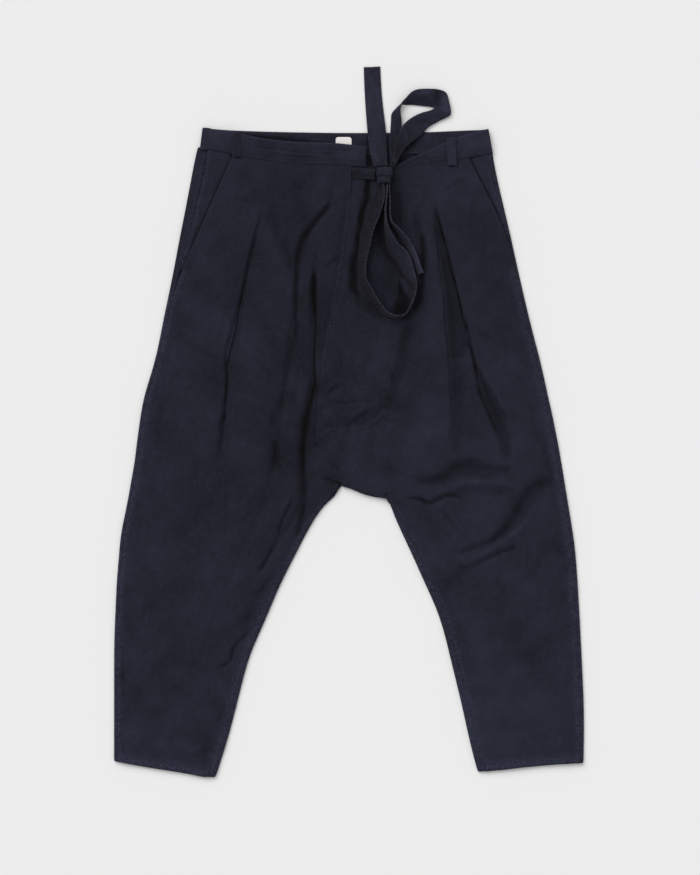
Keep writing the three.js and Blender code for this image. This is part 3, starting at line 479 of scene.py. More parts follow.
# Main creases of the fronts: height and width in mm, then x and y of points along each.
FRONT_FOLDS = [
    # the curved valley beside the centre front, and the arm that joins it from the right pleat
    (-2.4, 6.2, [-21, 329, -32, 320, -51, 299, -66, 276, -73, 258, -77, 239, -78, 222]),
    (-2.2, 3.0, [-74, 252, -77, 239, -78, 220, -78, 183, -79, 145, -83, 115, -90, 82]),
    (-1.6, 9.0, [-83, 125, -90, 82, -96, 45, -108, 15, -116, -15, -110, -40]),
    (-2.6, 8.0, [-113, -24, -108, -57, -104, -74]),
    (-2.4, 6.5, [-124, 320, -111, 295, -102, 269, -90, 243, -81, 218]),
    # the deep crease down to the crotch
    (-8.0, 3.4, [-52, 232, -52, 205, -52, 185, -50, 165, -49, 148]),
    (-3.6, 1.8, [-50, 165, -49, 145, -51, 108, -53, 70, -57, 40]),
    (-8.5, 4.2, [-53, 80, -57, 40, -62, 14, -66, -5, -70, -42, -68, -76]),
    (-4.6, 4.4, [-68, -18, -70, -42, -68, -80, -66, -117, -72, -147, -80, -182]),
    (-1.8, 2.2, [-52, 72, -50, 40, -49, 10, -50, -14]),
    (-2.0, 3.4, [-8, 249, -22, 241, -38, 230]),
    # the hollow that the tie's loop hangs over
    (-7.5, 4.4, [29, 376, 28, 350, 27, 336, 20, 310, 15, 284, 11, 258, 6, 232, 5, 202, 10, 186]),
    (-2.4, 6.5, [7, 200, 22, 180, 39, 167, 58, 158]),
    (-2.8, 10.0, [74, 356, 74, 318, 78, 280]),
    (-2.2, 7.0, [100, 315, 104, 285, 108, 250, 110, 222]),
    (-2.0, 8.0, [52, 300, 48, 262, 50, 230]),
    (-2.6, 5.5, [82, 212, 77, 190, 72, 172]),
    # right pleat
    (-3.0, 2.3, [-126, 331, -129, 320, -142, 268, -154, 218, -161, 188, -170, 158, -178, 130, -184, 105,
        -185, 84, -183, 62, -186, 35, -190, 5, -193, -25]),
    (-3.6, 5.2, [-187, 24, -190, -10, -193, -35, -194, -60]),
    (-1.6, 5.0, [-160, 190, -168, 145, -175, 100]),
    (-1.1, 6.0, [-181, -90, -183, -130, -182, -172]),
    # left pleat: its edge, the sunk underlay and the two valleys that it ends in
    (-5.2, 1.9, [125, 338, 128, 329, 135, 306, 142, 278, 148, 258, 153, 233, 161, 205, 166, 183, 172, 158,
        178, 138, 183, 115, 188, 93, 192, 78, 196, 62]),
    (-2.8, 7.5, [130, 300, 142, 250, 151, 200, 158, 155, 163, 115]),
    (-2.4, 6.5, [159, 160, 161, 100, 161, 50, 159, 5, 156, -30, 154, -56]),
    (-2.2, 1.8, [126, 323, 128, 295, 133, 265, 136, 235, 140, 205, 143, 179, 144, 153, 146, 130, 149, 104,
        151, 78, 153, 44, 154, 6, 155, -31]),
    (-4.2, 3.0, [184, 110, 188, 92, 193, 66, 197, 42, 205, 22, 214, 3, 226, -23]),
    (-3.0, 7.0, [212, 8, 226, -22, 233, -48, 237, -66]),
    (-2.4, 1.9, [189, 87, 211, 52, 226, 22, 241, -4]),
    (2.0, 2.2, [194, 90, 215, 56, 230, 26, 245, 0]),
    (1.4, 2.6, [166, 85, 178, 88, 192, 87]),
    (1.0, 1.8, [126, 348, 126, 328]),
    (-2.0, 2.7, [136, 344, 152, 352, 166, 359, 182, 365]),
    # valley from the loop to the crotch
    (-2.2, 6.5, [86, 146, 80, 108, 70, 76, 63, 40, 46, 16]),
    # wrinkles above the gusset
    (-1.7, 2.4, [-36, 40, -16, 52, 3, 60]),
    (1.7, 2.2, [-36, 47, -18, 59, 0, 68]),
    (-1.5, 3.0, [-42, 22, -24, 28, -7, 28, 16, 31, 45, 31]),
    (2.3, 2.6, [-5, -4, 16, 14, 42, 28]),
    (-1.8, 2.6, [-8, -12, 0, -4, 14, 7, 32, 18]),
    (2.2, 2.7, [32, -6, 42, 4, 53, 16, 64, 26]),
    (-1.6, 2.8, [24, -12, 38, -6, 50, 4, 62, 14]),
    (-2.8, 5.0, [-5, 4, 0, -11, 6, -26]),
    (1.6, 2.4, [-56, -42, -51, -31, -43, -21, -28, -12, -12, -9]),
    (-1.5, 2.3, [-50, -42, -45, -33, -38, -25, -26, -18]),
    (-1.2, 3.0, [40, 66, 39, 50, 42, 34]),
    # across the left thigh
    (-3.0, 8.5, [90, -86, 106, -87, 126, -89, 143, -84, 156, -72, 176, -64, 188, -64, 203, -71, 223, -72,
        256, -69]),
    (-1.4, 9.0, [150, -76, 180, -68, 210, -70]),
    (2.4, 5.0, [120, -112, 143, -104, 163, -96, 177, -91, 210, -90, 240, -94, 258, -90]),
    (-4.2, 3.2, [84, -113, 106, -117, 119, -123, 130, -118, 143, -112, 156, -110, 178, -117]),
    (-1.8, 6.0, [160, -99, 195, -103, 222, -107, 250, -103]),
    (1.6, 3.0, [144, -126, 152, -138, 163, -154, 182, -178]),
    (-1.5, 3.4, [137, -126, 145, -139, 155, -152]),
    (-3.2, 9.0, [312, -86, 290, -92, 276, -98, 266, -114, 253, -137, 240, -154, 222, -174]),
    (-3.0, 4.6, [240, -153, 226, -171, 210, -181, 190, -187, 170, -197, 156, -201]),
    (-2.4, 8.0, [304, -76, 300, -60, 293, -40, 283, -14]),
    (2.6, 4.5, [280, -128, 270, -144, 256, -161, 236, -177, 210, -194, 185, -206]),
    (-3.4, 3.2, [256, -174, 246, -189, 226, -196, 210, -204, 193, -212, 176, -219, 160, -217]),
    (-1.6, 8.0, [182, -222, 160, -234, 132, -246]),
    (-1.4, 4.5, [216, -228, 228, -248, 240, -270]),
    (-1.6, 6.5, [270, 40, 278, 5, 286, -42]),
    # on the right leg
    (-2.8, 3.2, [-78, -98, -84, -116, -96, -140, -104, -163, -111, -185]),
    (-4.0, 4.2, [-108, -178, -113, -188, -126, -211, -140, -234]),
    (-1.8, 3.4, [-142, -228, -155, -240, -170, -250]),
    (-1.8, 5.0, [-122, -240, -134, -255, -142, -268]),
    (-2.2, 8.0, [-140, -278, -150, -296, -162, -312]),
    (-3.0, 3.4, [-144, -312, -162, -327, -174, -342, -177, -357, -186, -365, -202, -373]),
    (-3.0, 3.4, [-339, -358, -340, -380, -340, -402]),
    (-1.6, 4.0, [-196, -488, -212, -494, -238, -504]),
    (-1.4, 7.0, [-276, 40, -284, 0, -286, -50]),
    (-1.3, 2.6, [-238, 108, -215, 101, -200, 98, -186, 90]),
    # pocket bag under the left front
    (-0.8, 2.6, [207, 295, 202, 250, 196, 205]),
    (-0.8, 2.6, [196, 205, 226, 206, 256, 205]),
]
# Soft folds of the backs, which the surface under them presses flat between.
BACK_FOLDS = [
    (1.6, 7.0, [-20, 300, -34, 190, -60, 60, -72, -40]),
    (1.2, 6.0, [40, 320, 52, 200, 74, 90]),
    (1.8, 8.0, [-170, 20, -140, -60, -120, -150]),
    (1.5, 7.0, [150, -60, 190, -110, 250, -140]),
    (1.3, 6.0, [120, -130, 180, -190, 250, -230]),
    (1.1, 5.0, [-300, -180, -240, -230, -180, -250]),
    (1.0, 6.0, [-30, -20, 10, -50, 60, -60]),
]


# Painted shade in creases and hollows, under edges and round the tie: how dark it is painted along
# one, then x, y and half width at points along it, and how firm its sides are where that isn't FIRM.
FIRM = 2.6
SHADE_END = 9          # length over which one dies out at its ends
PAINTED_SHADES = [
    # right pleat, and the valleys between it and the centre front
    (0.3, [-184, 75, 1.5, -183, 55, 2.6, -186, 25, 2.6, -190, -5, 3, -193, -35, 4.5, -193, -58, 3]),
    (0.22, [-158, 190, 1.5, -162, 160, 3, -165, 130, 3, -169, 98, 2]),
    (0.6, [-26, 329, 4, -50, 303, 5.5, -66, 280, 7, -75, 252, 8, -78, 222, 5.5, -79, 180, 3, -79, 150, 3,
        -80, 120, 4]),
    (0.06, [-86, 150, 4, -90, 110, 8, -95, 75, 11, -102, 35, 14, -108, 0, 14, -111, -30, 11, -110, -60, 7]),
    (0.52, [-113, -26, 4, -110, -42, 7, -109, -58, 9, -104, -74, 5]),
    (0.24, [-122, 320, 5, -108, 285, 8, -95, 255, 9, -83, 225, 6]),
    (0.3, [-8, 249, 2.5, -22, 241, 3.2, -38, 230, 2.5]),
    # the deep crease down to the crotch
    (0.95, [-54, 228, 1.8, -53, 207, 5.2, -52, 185, 5.6, -51, 165, 3, -50, 150, 1.3, -51, 120, 1.1,
        -53, 90, 1.1, -54, 60, 2.4, -57, 40, 4.6, -62, 14, 5.6, -66, -8, 5.6, -69, -42, 4.6, -69, -62, 2]),
    (0.55, [-67, -20, 5, -69, -42, 5, -68, -80, 4.8, -67, -117, 4.4, -72, -147, 4.4, -79, -178, 3]),
    (0.2, [-46, 152, 3, -46, 120, 4, -48, 92, 3]),
    (0.35, [-54, 70, 5, -57, 40, 9, -65, 0, 12, -71, -50, 11, -69, -90, 9, -70, -130, 7, -76, -165, 5]),
    # beside and inside the tie's hanging loop
    (0.95, [27, 374, 4.5, 28, 350, 5.5, 26, 335, 5.5, 19, 310, 4.5, 15, 284, 3.8, 12, 258, 4.6, 9, 238, 6.4,
        7, 215, 7.6, 9, 198, 6, 17, 184, 2.5]),
    (0.36, [6, 215, 10, 12, 192, 11, 26, 176, 11, 44, 165, 9, 64, 157, 6]),
    (0.2, [70, 370, 8, 73, 340, 12, 76, 310, 11, 82, 282, 7]),
    (0.7, [49, 322, 3, 47, 302, 8, 47, 284, 9, 50, 268, 8, 57, 254, 6.5, 67, 238, 5.5, 77, 224, 4.5,
        86, 212, 3], 3.5),
    (0.32, [54, 268, 9, 60, 235, 13, 66, 205, 12, 72, 182, 10]),
    (0.9, [75, 216, 2, 78, 198, 4.5, 80, 183, 11, 78, 168, 14.5, 76, 152, 14], 3.5),
    (0.3, [72, 72, 3, 68, 46, 4, 63, 30, 3.5, 54, 18, 2]),
    (0.85, [69, 294, 1.5, 72, 287, 4, 80, 274, 5, 89, 258, 4, 97, 240, 2.5]),
    (0.8, [106, 286, 3, 110, 268, 5, 111, 245, 6, 110, 225, 6, 108, 200, 6.5, 105, 180, 6, 95, 162, 4]),
    # left pleat: the sunk underlay, then the two valleys that it ends in
    (0.5, [127, 323, 1.2, 133, 295, 4.8, 139, 265, 6.5, 145, 235, 8.3, 151, 205, 10.4, 155, 179, 12,
        159, 153, 14.8, 162, 130, 16, 163, 115, 16, 160, 100, 11, 161, 88, 8], 6),
    (0.32, [160, 112, 11, 160, 96, 10.5, 161, 78, 10, 162, 44, 9.5, 163, 6, 8.5, 160, -27, 6,
        158, -52, 4], 4),
    (0.5, [192, 85, 2, 199, 63, 4.5, 206, 40, 9, 213, 27, 10.5, 222, 6, 10.5, 230, -14, 8, 235, -40, 8,
        237, -60, 6], 3.5),
    (0.4, [90, 148, 7, 84, 118, 8, 78, 92, 8, 73, 66, 7.5, 69, 45, 6, 62, 28, 5, 50, 16, 3]),
    # wrinkles above the gusset
    (0.26, [-37, 38, 1.5, -26, 47, 3, -14, 53, 2.5, 3, 60, 1.5]),
    (0.22, [-42, 22, 1.5, -24, 28, 2.5, -7, 28, 2.5, 16, 31, 2.5, 45, 31, 1.5]),
    (0.24, [-8, -12, 2, 0, -4, 3.5, 14, 7, 3, 32, 18, 2]),
    (0.26, [24, -12, 1.5, 38, -6, 2.5, 50, 4, 2.5, 62, 14, 1.5]),
    # across the left thigh
    (0.44, [96, -86, 5, 120, -88, 7, 140, -84, 9, 152, -76, 11, 170, -68, 14, 188, -68, 15, 205, -72, 12,
        222, -73, 9, 248, -71, 5], 3.4),
    (0.6, [86, -113, 1.5, 106, -116, 3.5, 118, -121, 4.5, 128, -119, 3, 143, -112, 2, 158, -110, 1.6]),
    (0.42, [310, -88, 6, 290, -93, 9, 275, -102, 12, 263, -118, 14, 252, -136, 14, 240, -152, 11,
        225, -169, 6, 205, -182, 4, 176, -194, 3], 3.2),
    (0.36, [256, -183, 2, 240, -190, 3, 226, -196, 3.5, 210, -204, 3, 193, -212, 4, 176, -218, 6,
        158, -215, 5]),
    (0.2, [178, -222, 6, 160, -234, 8, 136, -245, 7]),
    (0.26, [303, -84, 6, 298, -55, 8, 292, -35, 7, 285, -10, 4]),
    (0.2, [155, -99, 5, 190, -103, 6, 222, -107, 6, 252, -103, 4]),
    # on the right leg
    (0.3, [-75, -93, 2, -84, -116, 2.5, -96, -140, 2.5, -104, -163, 2, -112, -186, 3, -120, -200, 4,
        -130, -217, 5, -138, -230, 3]),
    (0.3, [-118, -230, 3, -127, -246, 4.5, -134, -260, 3]),
    (0.22, [-140, -236, 3, -158, -244, 3, -173, -250, 2]),
    (0.42, [-144, -310, 3, -160, -325, 2.5, -172, -340, 2.5, -178, -357, 2, -188, -364, 1.8,
        -204, -374, 1.2]),
    (0.2, [-142, -280, 7, -152, -294, 8, -164, -308, 6]),
    (0.22, [-342, -322, 1.2, -341, -345, 2, -340, -362, 3.5, -339, -380, 4, -340, -400, 3, -343, -425, 1.4,
        -343, -460, 1.4, -341, -485, 1.4, -336, -500, 1.6, -331, -508, 1.2]),
    # under the gusset's free edge, and under the tie at the waist
    (0.7, [-43, -81, 1.5, -31, -87, 2.2, -20, -91, 2.2, -9, -95, 1.5]),
    (0.8, [31, 420, 4, 31, 400, 5, 32, 378, 4]),
    (0.65, [58, 441, 2.6, 58, 415, 2.8, 57, 388, 2.8], 4),
    (0.25, [60, 388, 4, 72, 391, 6, 84, 395, 6, 96, 399, 3]),
]
# Painted shade on the inside of the back's band, just above the front one and round the tie.
BAND_PAINTED_SHADES = [
    (0.75, [-170, 432, 1, -140, 428, 3.5, -110, 425, 4.5, -80, 422, 4.5, -50, 419, 3, -20, 417, 1.5]),
    (0.75, [31, 440, 3, 32, 415, 5.5, 33, 388, 6]),
    (0.68, [66, 402, 5, 78, 410, 9, 92, 418, 9, 106, 425, 4]),
    (0.65, [58, 441, 2.6, 58, 415, 2.8, 57, 388, 2.8], 4),
]


def painted_shade_along(x, y, shade_lines):
    """Share of painted shade that the lines of shade put at each point."""
    total = np.zeros_like(x)
    wander = [1.6 * ripple(x, y, 28, seed) for seed in (21, 22)]
    for amount, points, *firm in shade_lines:
        line = rounded(np.reshape(points, (-1, 3)))
        reach, loose = 2.2 * line[:, 2].max() + 4, min(1, line[:, 2].mean() / 6)
        close, away, share = near_line(x, y, line, reach, loose, wander)
        steps = np.linalg.norm(np.diff(line[:, :2], axis=0), axis=1)
        marks = np.concatenate([[0], np.cumsum(steps)]) / steps.sum()
        wide = np.interp(share, marks, line[:, 2])
        ends = np.clip(np.minimum(share, 1 - share) * steps.sum() / SHADE_END, 0, 1)
        profile = np.exp(-(away / wide) ** (firm[0] if firm else FIRM))
        total[close] = np.maximum(total[close], amount * ends * profile)
    return total


def crumple(x, y):
    """The unevenness that washing leaves all over the cloth."""
    return 0.6 * ripple(x, y, 95, 1) + 0.42 * ripple(x, y, 38, 2) + 0.24 * ripple(x, y, 15, 3)


def fold(sheet, folds, amount=1.0):
    """Presses folds and crumples into a sheet. Deep valleys and the lines of shade are painted darker as in
    shade; crests get wear with a painted highlight.
    """
    x, y = xy(sheet)
    pressed = press(x, y, folds) * amount
    deepen(sheet, "fresh", np.maximum(np.clip(-pressed / 7, 0, 1), painted_shade_along(x, y, PAINTED_SHADES)))
    deepen(sheet, "wear", np.clip(pressed / 8, 0, 0.3))
    sheet["middle"][..., 2] += pressed + crumple(x, y) * amount


ALL = (-FAR, FAR)
SIDES = ("left", "right", "top", "bottom")


def between(sheet, rows, columns=ALL):
    """1 within ranges of y and x, falling to 0 over a soft stretch at their ends."""
    x, y = xy(sheet)
    return (ramp(y, rows[0], 12) * ramp(y, rows[1], -12)
            * ramp(x, columns[0], 3) * ramp(x, columns[1], -3))


def feather(sheet, side, width, share, rows=ALL, columns=ALL):
    """The wall thins towards a side, with its lower face kept where it is, so that the edge lies
    level with the cloth under it, as it does where the two are sewn."""
    away, _ = from_edge(sheet, side)
    thin = 1 - (1 - share) * between(sheet, rows, columns) * np.clip(1 - away / width, 0, 1)
    sheet["middle"] -= sheet["half"] * (1 - thin)[..., None]
    sheet["half"] *= thin[..., None]


def lift(sheet, side, height, reach):
    """Raises, or sinks, the cloth towards a side."""
    away, _ = from_edge(sheet, side)
    share = np.clip(1 - away / reach, 0, 1)
    sheet["middle"][..., 2] += height * share ** 2 * (3 - 2 * share)


def rub(sheet, side, width, amount, rows=ALL):
    """Dye rubbed off along a side."""
    away, _ = from_edge(sheet, side)
    deepen(sheet, "wear", amount * np.exp(-(away / width) ** 4) * between(sheet, rows))


def rub_fold(sheet, side, at, width, amount, rows):
    """Dye rubbed off a fold that runs at a distance from a side."""
    away, _ = from_edge(sheet, side)
    deepen(sheet, "wear", amount * np.exp(-((away - at) / width) ** 2) * between(sheet, rows))


def pucker(sheet, side, height, pitch, reach, rows=ALL, wear_and_painted_light=0.5):
    """Gathers along a sewn side: short waves square to it that die out away from the seam, with wear and a
    painted highlight along the seam.
    """
    away, along = from_edge(sheet, side)
    waves = (np.sin(2 * math.pi * along / pitch + 1.7 * np.sin(along / 19))
             * (0.55 + 0.45 * np.sin(2 * math.pi * along / (pitch * 4.7))))
    within = between(sheet, rows)
    far = reach * (1 + 0.6 * np.sin(along / 31 + 1))
    sheet["middle"][..., 2] += height * waves * np.exp(-(away / far) ** 2) * within
    deepen(sheet, "wear", within * np.exp(-(away / 3.2) ** 2) * wear_and_painted_light * (1 + 0.5 * waves))


def turned_edge(sheet, side, depth, height, rows):
    """A turned or folded allowance under the cloth: it stands proud up to its own depth."""
    away, _ = from_edge(sheet, side)
    step = 0.5 - 0.5 * np.tanh((away - depth) / 1.6)
    within = between(sheet, rows)
    sheet["middle"][..., 2] += height * step * within
    deepen(sheet, "wear", 0.35 * np.exp(-((away - depth + 1) / 1.8) ** 2) * within)


def lap(sheet, side, more, rise):
    """The sheet reaches further over its neighbour at one side, and lies on it there."""
    away, _ = from_edge(sheet, side)
    grid = facing(sheet["middle"], side)
    lines = np.arange(len(grid))
    first = np.argmax(facing(sheet["cloth"], side), axis=1)
    outward = grid[lines, first] - grid[lines, first + 1]
    outward[:, 2] = 0
    outward /= np.linalg.norm(outward, axis=1, keepdims=True)
    share = np.clip(1 - facing(away, side) / (3 * more), 0, 1) ** 1.5
    grid += outward[:, None] * more * share[..., None]
    grid[..., 2] += rise * share


def tug(sheet, x, y, reach, *move):
    """Pulls the cloth round a place by a vector."""
    from_there = ((sheet["middle"][..., :2] - np.array((x, y))) ** 2).sum(2)
    sheet["middle"] += np.exp(-from_there / reach ** 2)[..., None] * np.array(move)


def settle(sheet, under, side, reach, rows=ALL, columns=ALL):
    """Near a side the sheet comes down, or up, onto the top of the one under it."""
    away, _ = from_edge(sheet, side)
    weight = np.clip(1 - away / reach, 0, 1)
    weight = weight ** 2 * (3 - 2 * weight) * between(sheet, rows, columns)
    moved = weight > 0
    around = 9
    place_at = sheet["middle"][moved]
    low, high = place_at.min(0) - around, place_at.max(0) + around
    tops = (under["middle"] + under["half"])[under["cloth"]]
    tops = tops[((tops > low) & (tops < high))[:, :2].all(1)]
    level = np.empty(len(place_at))
    for k, point in enumerate(place_at):
        from_it = ((tops[:, :2] - point[:2]) ** 2).sum(1)
        share = np.exp(-(from_it - from_it.min()) / around)
        level[k] = (tops[:, 2] * share).sum() / share.sum()
    target = level + np.abs(sheet["half"][moved][:, 2])
    sheet["middle"][..., 2][moved] += (target - place_at[:, 2]) * weight[moved]


# ---- cloth as meshes
RIM = 2.4               # distance over which a free edge turns over


def round_rim(sheet, share=0.5):
    """The wall thins at the cloth's outer lines, so that its edges turn over softly."""
    for side in SIDES:
        away, _ = from_edge(sheet, side)
        sheet["half"] *= np.clip(share + away / RIM, 0, 1)[..., None]


def keep(mesh, name, values):
    """Keeps a number or a vector for each point of a mesh under a name."""
    kind, field = ("FLOAT_VECTOR", "vector") if values.ndim == 2 else ("FLOAT", "value")
    mesh.attributes.new(name, kind, "POINT").data.foreach_set(field, values.astype(np.float32).ravel())


def shell(sheet, material):
    """The closed thin shell of a cloth grid, with its own coordinates, its wear and its painted light and
    shade kept on it.
    """
    middle, half, cells = sheet["middle"], sheet["half"], sheet["cells"]
    rows, columns = middle.shape[:2]
    points = np.concatenate([(middle + half).reshape(-1, 3), (middle - half).reshape(-1, 3)]) * MM
    number = np.arange(rows * columns).reshape(rows, columns)
    under = number + rows * columns
    corners = [np.s_[:-1, :-1], np.s_[1:, :-1], np.s_[1:, 1:], np.s_[:-1, 1:]]
    faces = [np.stack([number[c][cells] for c in corners], 1),
             np.stack([under[c][cells] for c in corners[::-1]], 1)]
    framed = np.pad(cells, 1)
    beside = [framed[1:-1, :-2], framed[2:, 1:-1], framed[1:-1, 2:], framed[:-2, 1:-1]]
    for side in range(4):
        rim = cells & ~beside[side]
        a, b = corners[side], corners[(side + 1) % 4]
        faces.append(np.stack([number[b][rim], number[a][rim], under[a][rim], under[b][rim]], 1))
    faces = np.concatenate(faces)
    used, faces = np.unique(faces, return_inverse=True)
    mesh = bpy.data.meshes.new(sheet["name"])
    mesh.from_pydata(points[used].tolist(), [], faces.reshape(-1, 4).tolist())
    keep(mesh, "lay", np.concatenate([sheet.get("lay", middle).reshape(-1, 3)] * 2)[used])
    for name in ("wear", "fresh", "faded"):
        keep(mesh, name, np.concatenate([sheet[name].ravel()] * 2)[used])
    mesh.materials.append(material)
    mesh.shade_smooth()
    return place(sheet["name"] + "_sewn", mesh)


# Long shallow creases of the front bands.
BAND_FOLDS = [
    (-1.5, 1.7, [-160, 413, -110, 408, -60, 403, 0, 400]),
    (1.1, 1.8, [-150, 408, -90, 402, -30, 397]),
    (-1.3, 1.6, [-100, 399, -45, 395, 10, 392]),
    (-1.1, 1.7, [-60, 409, -20, 407, 18, 405]),
    (-1.0, 1.6, [84, 386, 104, 394, 128, 404]),
]

LOFT, LOFT_REACH = 2.4, 40      # rise of a front panel, and how far from its edges it takes
LOWEST_FRONT = 2.7              # the middle of a front panel's wall may not sink under this
FINE = (4.4, 2.4)               # spacing of a grid along the leg and across it
COARSE = (5.5, 4.5)
DOWN = (0, -1, 0)


def lay_front(sheet):
    """The fronts rise a little from their edges and are folded, never down through the back."""
    nearest = np.min([from_edge(sheet, side)[0] for side in SIDES], 0)
    z = sheet["middle"][..., 2]
    z += LOFT * (1 - np.exp(-(nearest / LOFT_REACH) ** 2))
    fold(sheet, FRONT_FOLDS)
    spare = 0.8
    low = LOWEST_FRONT + spare
    held = low - spare + spare * np.exp(np.minimum(z - low, 0) / spare)
    z[:] = np.where(z > low, z, held)


def lay_back(sheet):
    """The lips that turn to the front follow the fronts, and the rest has folds of its own."""
    x, y = xy(sheet)
    z = sheet["middle"][..., 2]
    on_front = np.clip((z - 1.5) / 2.2, 0, 1)
    z += on_front * crumple(x, y) * 0.8 + (1 - on_front) * press(x, y, BACK_FOLDS)


pieces = {}
sheets = {}
LEG = (-540, 235)       # the stretch of the side seams below the pockets
HEM = (-560, -400)
POCKET = (235, 392)
FRONT_TOP = 372         # above this the inside of the back shows
HEM_DEPTH = 12

for node, x in (("back_right", -150), ("back_left", 150)):
    back = sheets[node] = fine_sheet(node, (x, 100, 0), DOWN, COARSE)
    lay_back(back)
    for side in ("left", "right"):
        pucker(back, side, 0.25, 9, 12)
        rub(back, side, 6, 0.26, (-540, 380))
    rub(back, "bottom", HEM_DEPTH, 0.5)
    outer, inner = ("left", "right") if x < 0 else ("right", "left")
    rub_fold(back, outer, 7, 5, 1.0, (-540, 190))
    rub(back, inner, 13, 0.42, (-540, -230))
    rub_fold(back, inner, 13, 4, 0.8, (-540, -210))
    rub_fold(back, inner, 8, 4, 0.7, (-235, -110))
    # Painted shade on the inside of the back where it shows above the fronts, round the tie.
    back["fresh"] = painted_shade_along(*xy(back), PAINTED_SHADES) * (xy(back)[1] > FRONT_TOP)
    lap(back, "top", more=3.0, rise=0.0)
    round_rim(back)

for node, x in (("front_right", -150), ("front_left", 60)):
    front = sheets[node] = fine_sheet(node, (x, 100, 6), DOWN, FINE)
    outer, inner = ("left", "right") if x < 0 else ("right", "left")
    lay_front(front)
    turned_edge(front, "bottom", HEM_DEPTH, 0.6, HEM)
    pucker(front, "bottom", 0.35, 9, 10, HEM)
    rub(front, "bottom", HEM_DEPTH, 0.72, HEM)
    pucker(front, outer, 0.3, 11, 10, LEG)
    rub(front, outer, 6 if x < 0 else 10, 0.45, LEG)
    pucker(front, inner, 0.45, 7, 12, (-540, -110))
    lap(front, outer, more=0.7, rise=0.15)
    lap(front, inner, more=0.6, rise=0.1)

pucker(sheets["front_left"], "left", 0.7, 11, 24, (-410, -280), 0.7)
front = sheets["front_right"]
LAPPED = (70, 350)      # where the right front's edge lies flat on the left one
feather(front, "right", width=14, share=0.3, rows=LAPPED)
settle(front, sheets["front_left"], "right", 16, LAPPED)
pucker(front, "right", 0.5, 5.5, 9, (60, 335), 0.36)
rub(front, "right", 3, 0.35, (235, 330))
rub(front, "right", 5, 0.3, (110, 235))
rub(sheets["front_left"], "left", 10, 0.22, (110, 215))

gusset = sheets["crotch_gusset"] = fine_sheet("crotch_gusset", (0, -50, 8), DOWN, (2.6, 2.6), slack=0.6)
# The pulled cloth round the crotch and the centre front: x, y and reach of each pull, then its way.
TUGS = {
    "front_right": [(-44, 58, 24, 3.6, 0, 0), (-25, -109, 13, 6.325, 0, 0), (-14, -94, 8, 7.475, -1, 0),
                    (-17, -97, 10, 4.2, 0.5, 0.2)],
    "front_left": [(-42, 50, 18, -2, 0, 0.4), (66, -114, 15, -11, -2.5, 0.5), (76, -136, 18, -4, 0, 0)],
    "back_right": [(-25, -109, 13, 4.95, 0, 0), (-14, -94, 8, 5.85, -1, 0)],
    "crotch_gusset": [(-32, -78, 13, -2, -7, -0.5), (-13, -88, 12, -1, -5, -1.5), (24, -106, 24, 0, -1.2, 0),
                      (-5, -96, 6, -4, 1.4, 0), (66, -107, 12, 5, -7, -1), (57, -113, 6, 4, -2.2, 0)],
}
for node, tugs in TUGS.items():
    for pull in tugs:
        tug(sheets[node], *pull)
fold(gusset, FRONT_FOLDS, amount=0.8)
for side, share in (("top", 0.2), ("right", 0.08)):
    feather(gusset, side, width=14, share=share)
    settle(gusset, sheets["front_left"], side, 18)
    pucker(gusset, side, 0.3, 7, 8, wear_and_painted_light=0.08)
for side, under, rows, columns in (("left", "front_right", (-86, 50), ALL),
                                   ("bottom", "front_right", (-105, 50), (-80, -8)),
                                   ("bottom", "front_left", (-150, -80), (49, 99))):
    feather(gusset, side, width=10, share=0.25, rows=rows, columns=columns)
    settle(gusset, sheets[under], side, 12, rows, columns)

for node in ("front_right", "front_left", "crotch_gusset"):
    round_rim(sheets[node])

for node, start, outer in (("pocket_facing_right", (-220, 320, 4), "left"),
                           ("pocket_facing_left", (205, 340, 4), "right")):
    facing_piece = sheets[node] = fine_sheet(node, start, DOWN, FINE)
    fold(facing_piece, [], amount=0.4)
    lap(facing_piece, outer, more=0.8, rise=0.1)
    rub(facing_piece, outer, 6, 0.4)
    inner = "right" if outer == "left" else "left"
    away, _ = from_edge(facing_piece, inner)
    # Painted shade on the facing along the shadow of the front's edge.
    facing_piece["fresh"] = 0.7 * np.exp(-((away - 12.5) / 3.5) ** 2)
    round_rim(facing_piece)

for node, start in (("waistband_back", (0, 420, 2)), ("waistband_front_right", (-100, 400, 8)),
                    ("waistband_front_left", (140, 400, 8))):
    band = sheets[node] = fine_sheet(node, start, (1, 0, 0), (2.2, 2.2))
    x, y = xy(band)
    if node == "waistband_back":
        for side in ("top", "bottom"):
            lift(band, side, height=-1.6, reach=22)
        lap(band, "left", more=2.6, rise=1.0)
    else:
        band["middle"][..., 2] += 0.35 * ripple(x, 2.5 * y, 60, 5) + 0.14 * ripple(x, y, 16, 6)
        lap(band, "left", more=2.6, rise=0.2)
        band["middle"][..., 2] += press(x, y, BAND_FOLDS)
        feather(band, "left", width=9, share=0.15)
        feather(band, "right", width=4, share=0.6)
        lap(band, "top" if node.endswith("right") else "bottom", more=9.0, rise=0.1)
        settle(band, sheets[node.replace("waistband_", "")], "left", 11)
    for side in ("left", "right"):
        pucker(band, side, 0.25, 8, 6, wear_and_painted_light=0.3)
    # Painted shade along the lines of shade: the back band's own on its inside, the fronts' on the front
    # bands.
    band["fresh"] = painted_shade_along(x, y, BAND_PAINTED_SHADES if node == "waistband_back" else PAINTED_SHADES)
    round_rim(band)

for node in sheets:
    material = band_canvas if node.startswith("waistband") else canvas
    pieces[node] = shell(sheets[node], material)


# ---- loops, label and tie
PINCH = 0.3             # share of the wall that is lost along a row of stitching


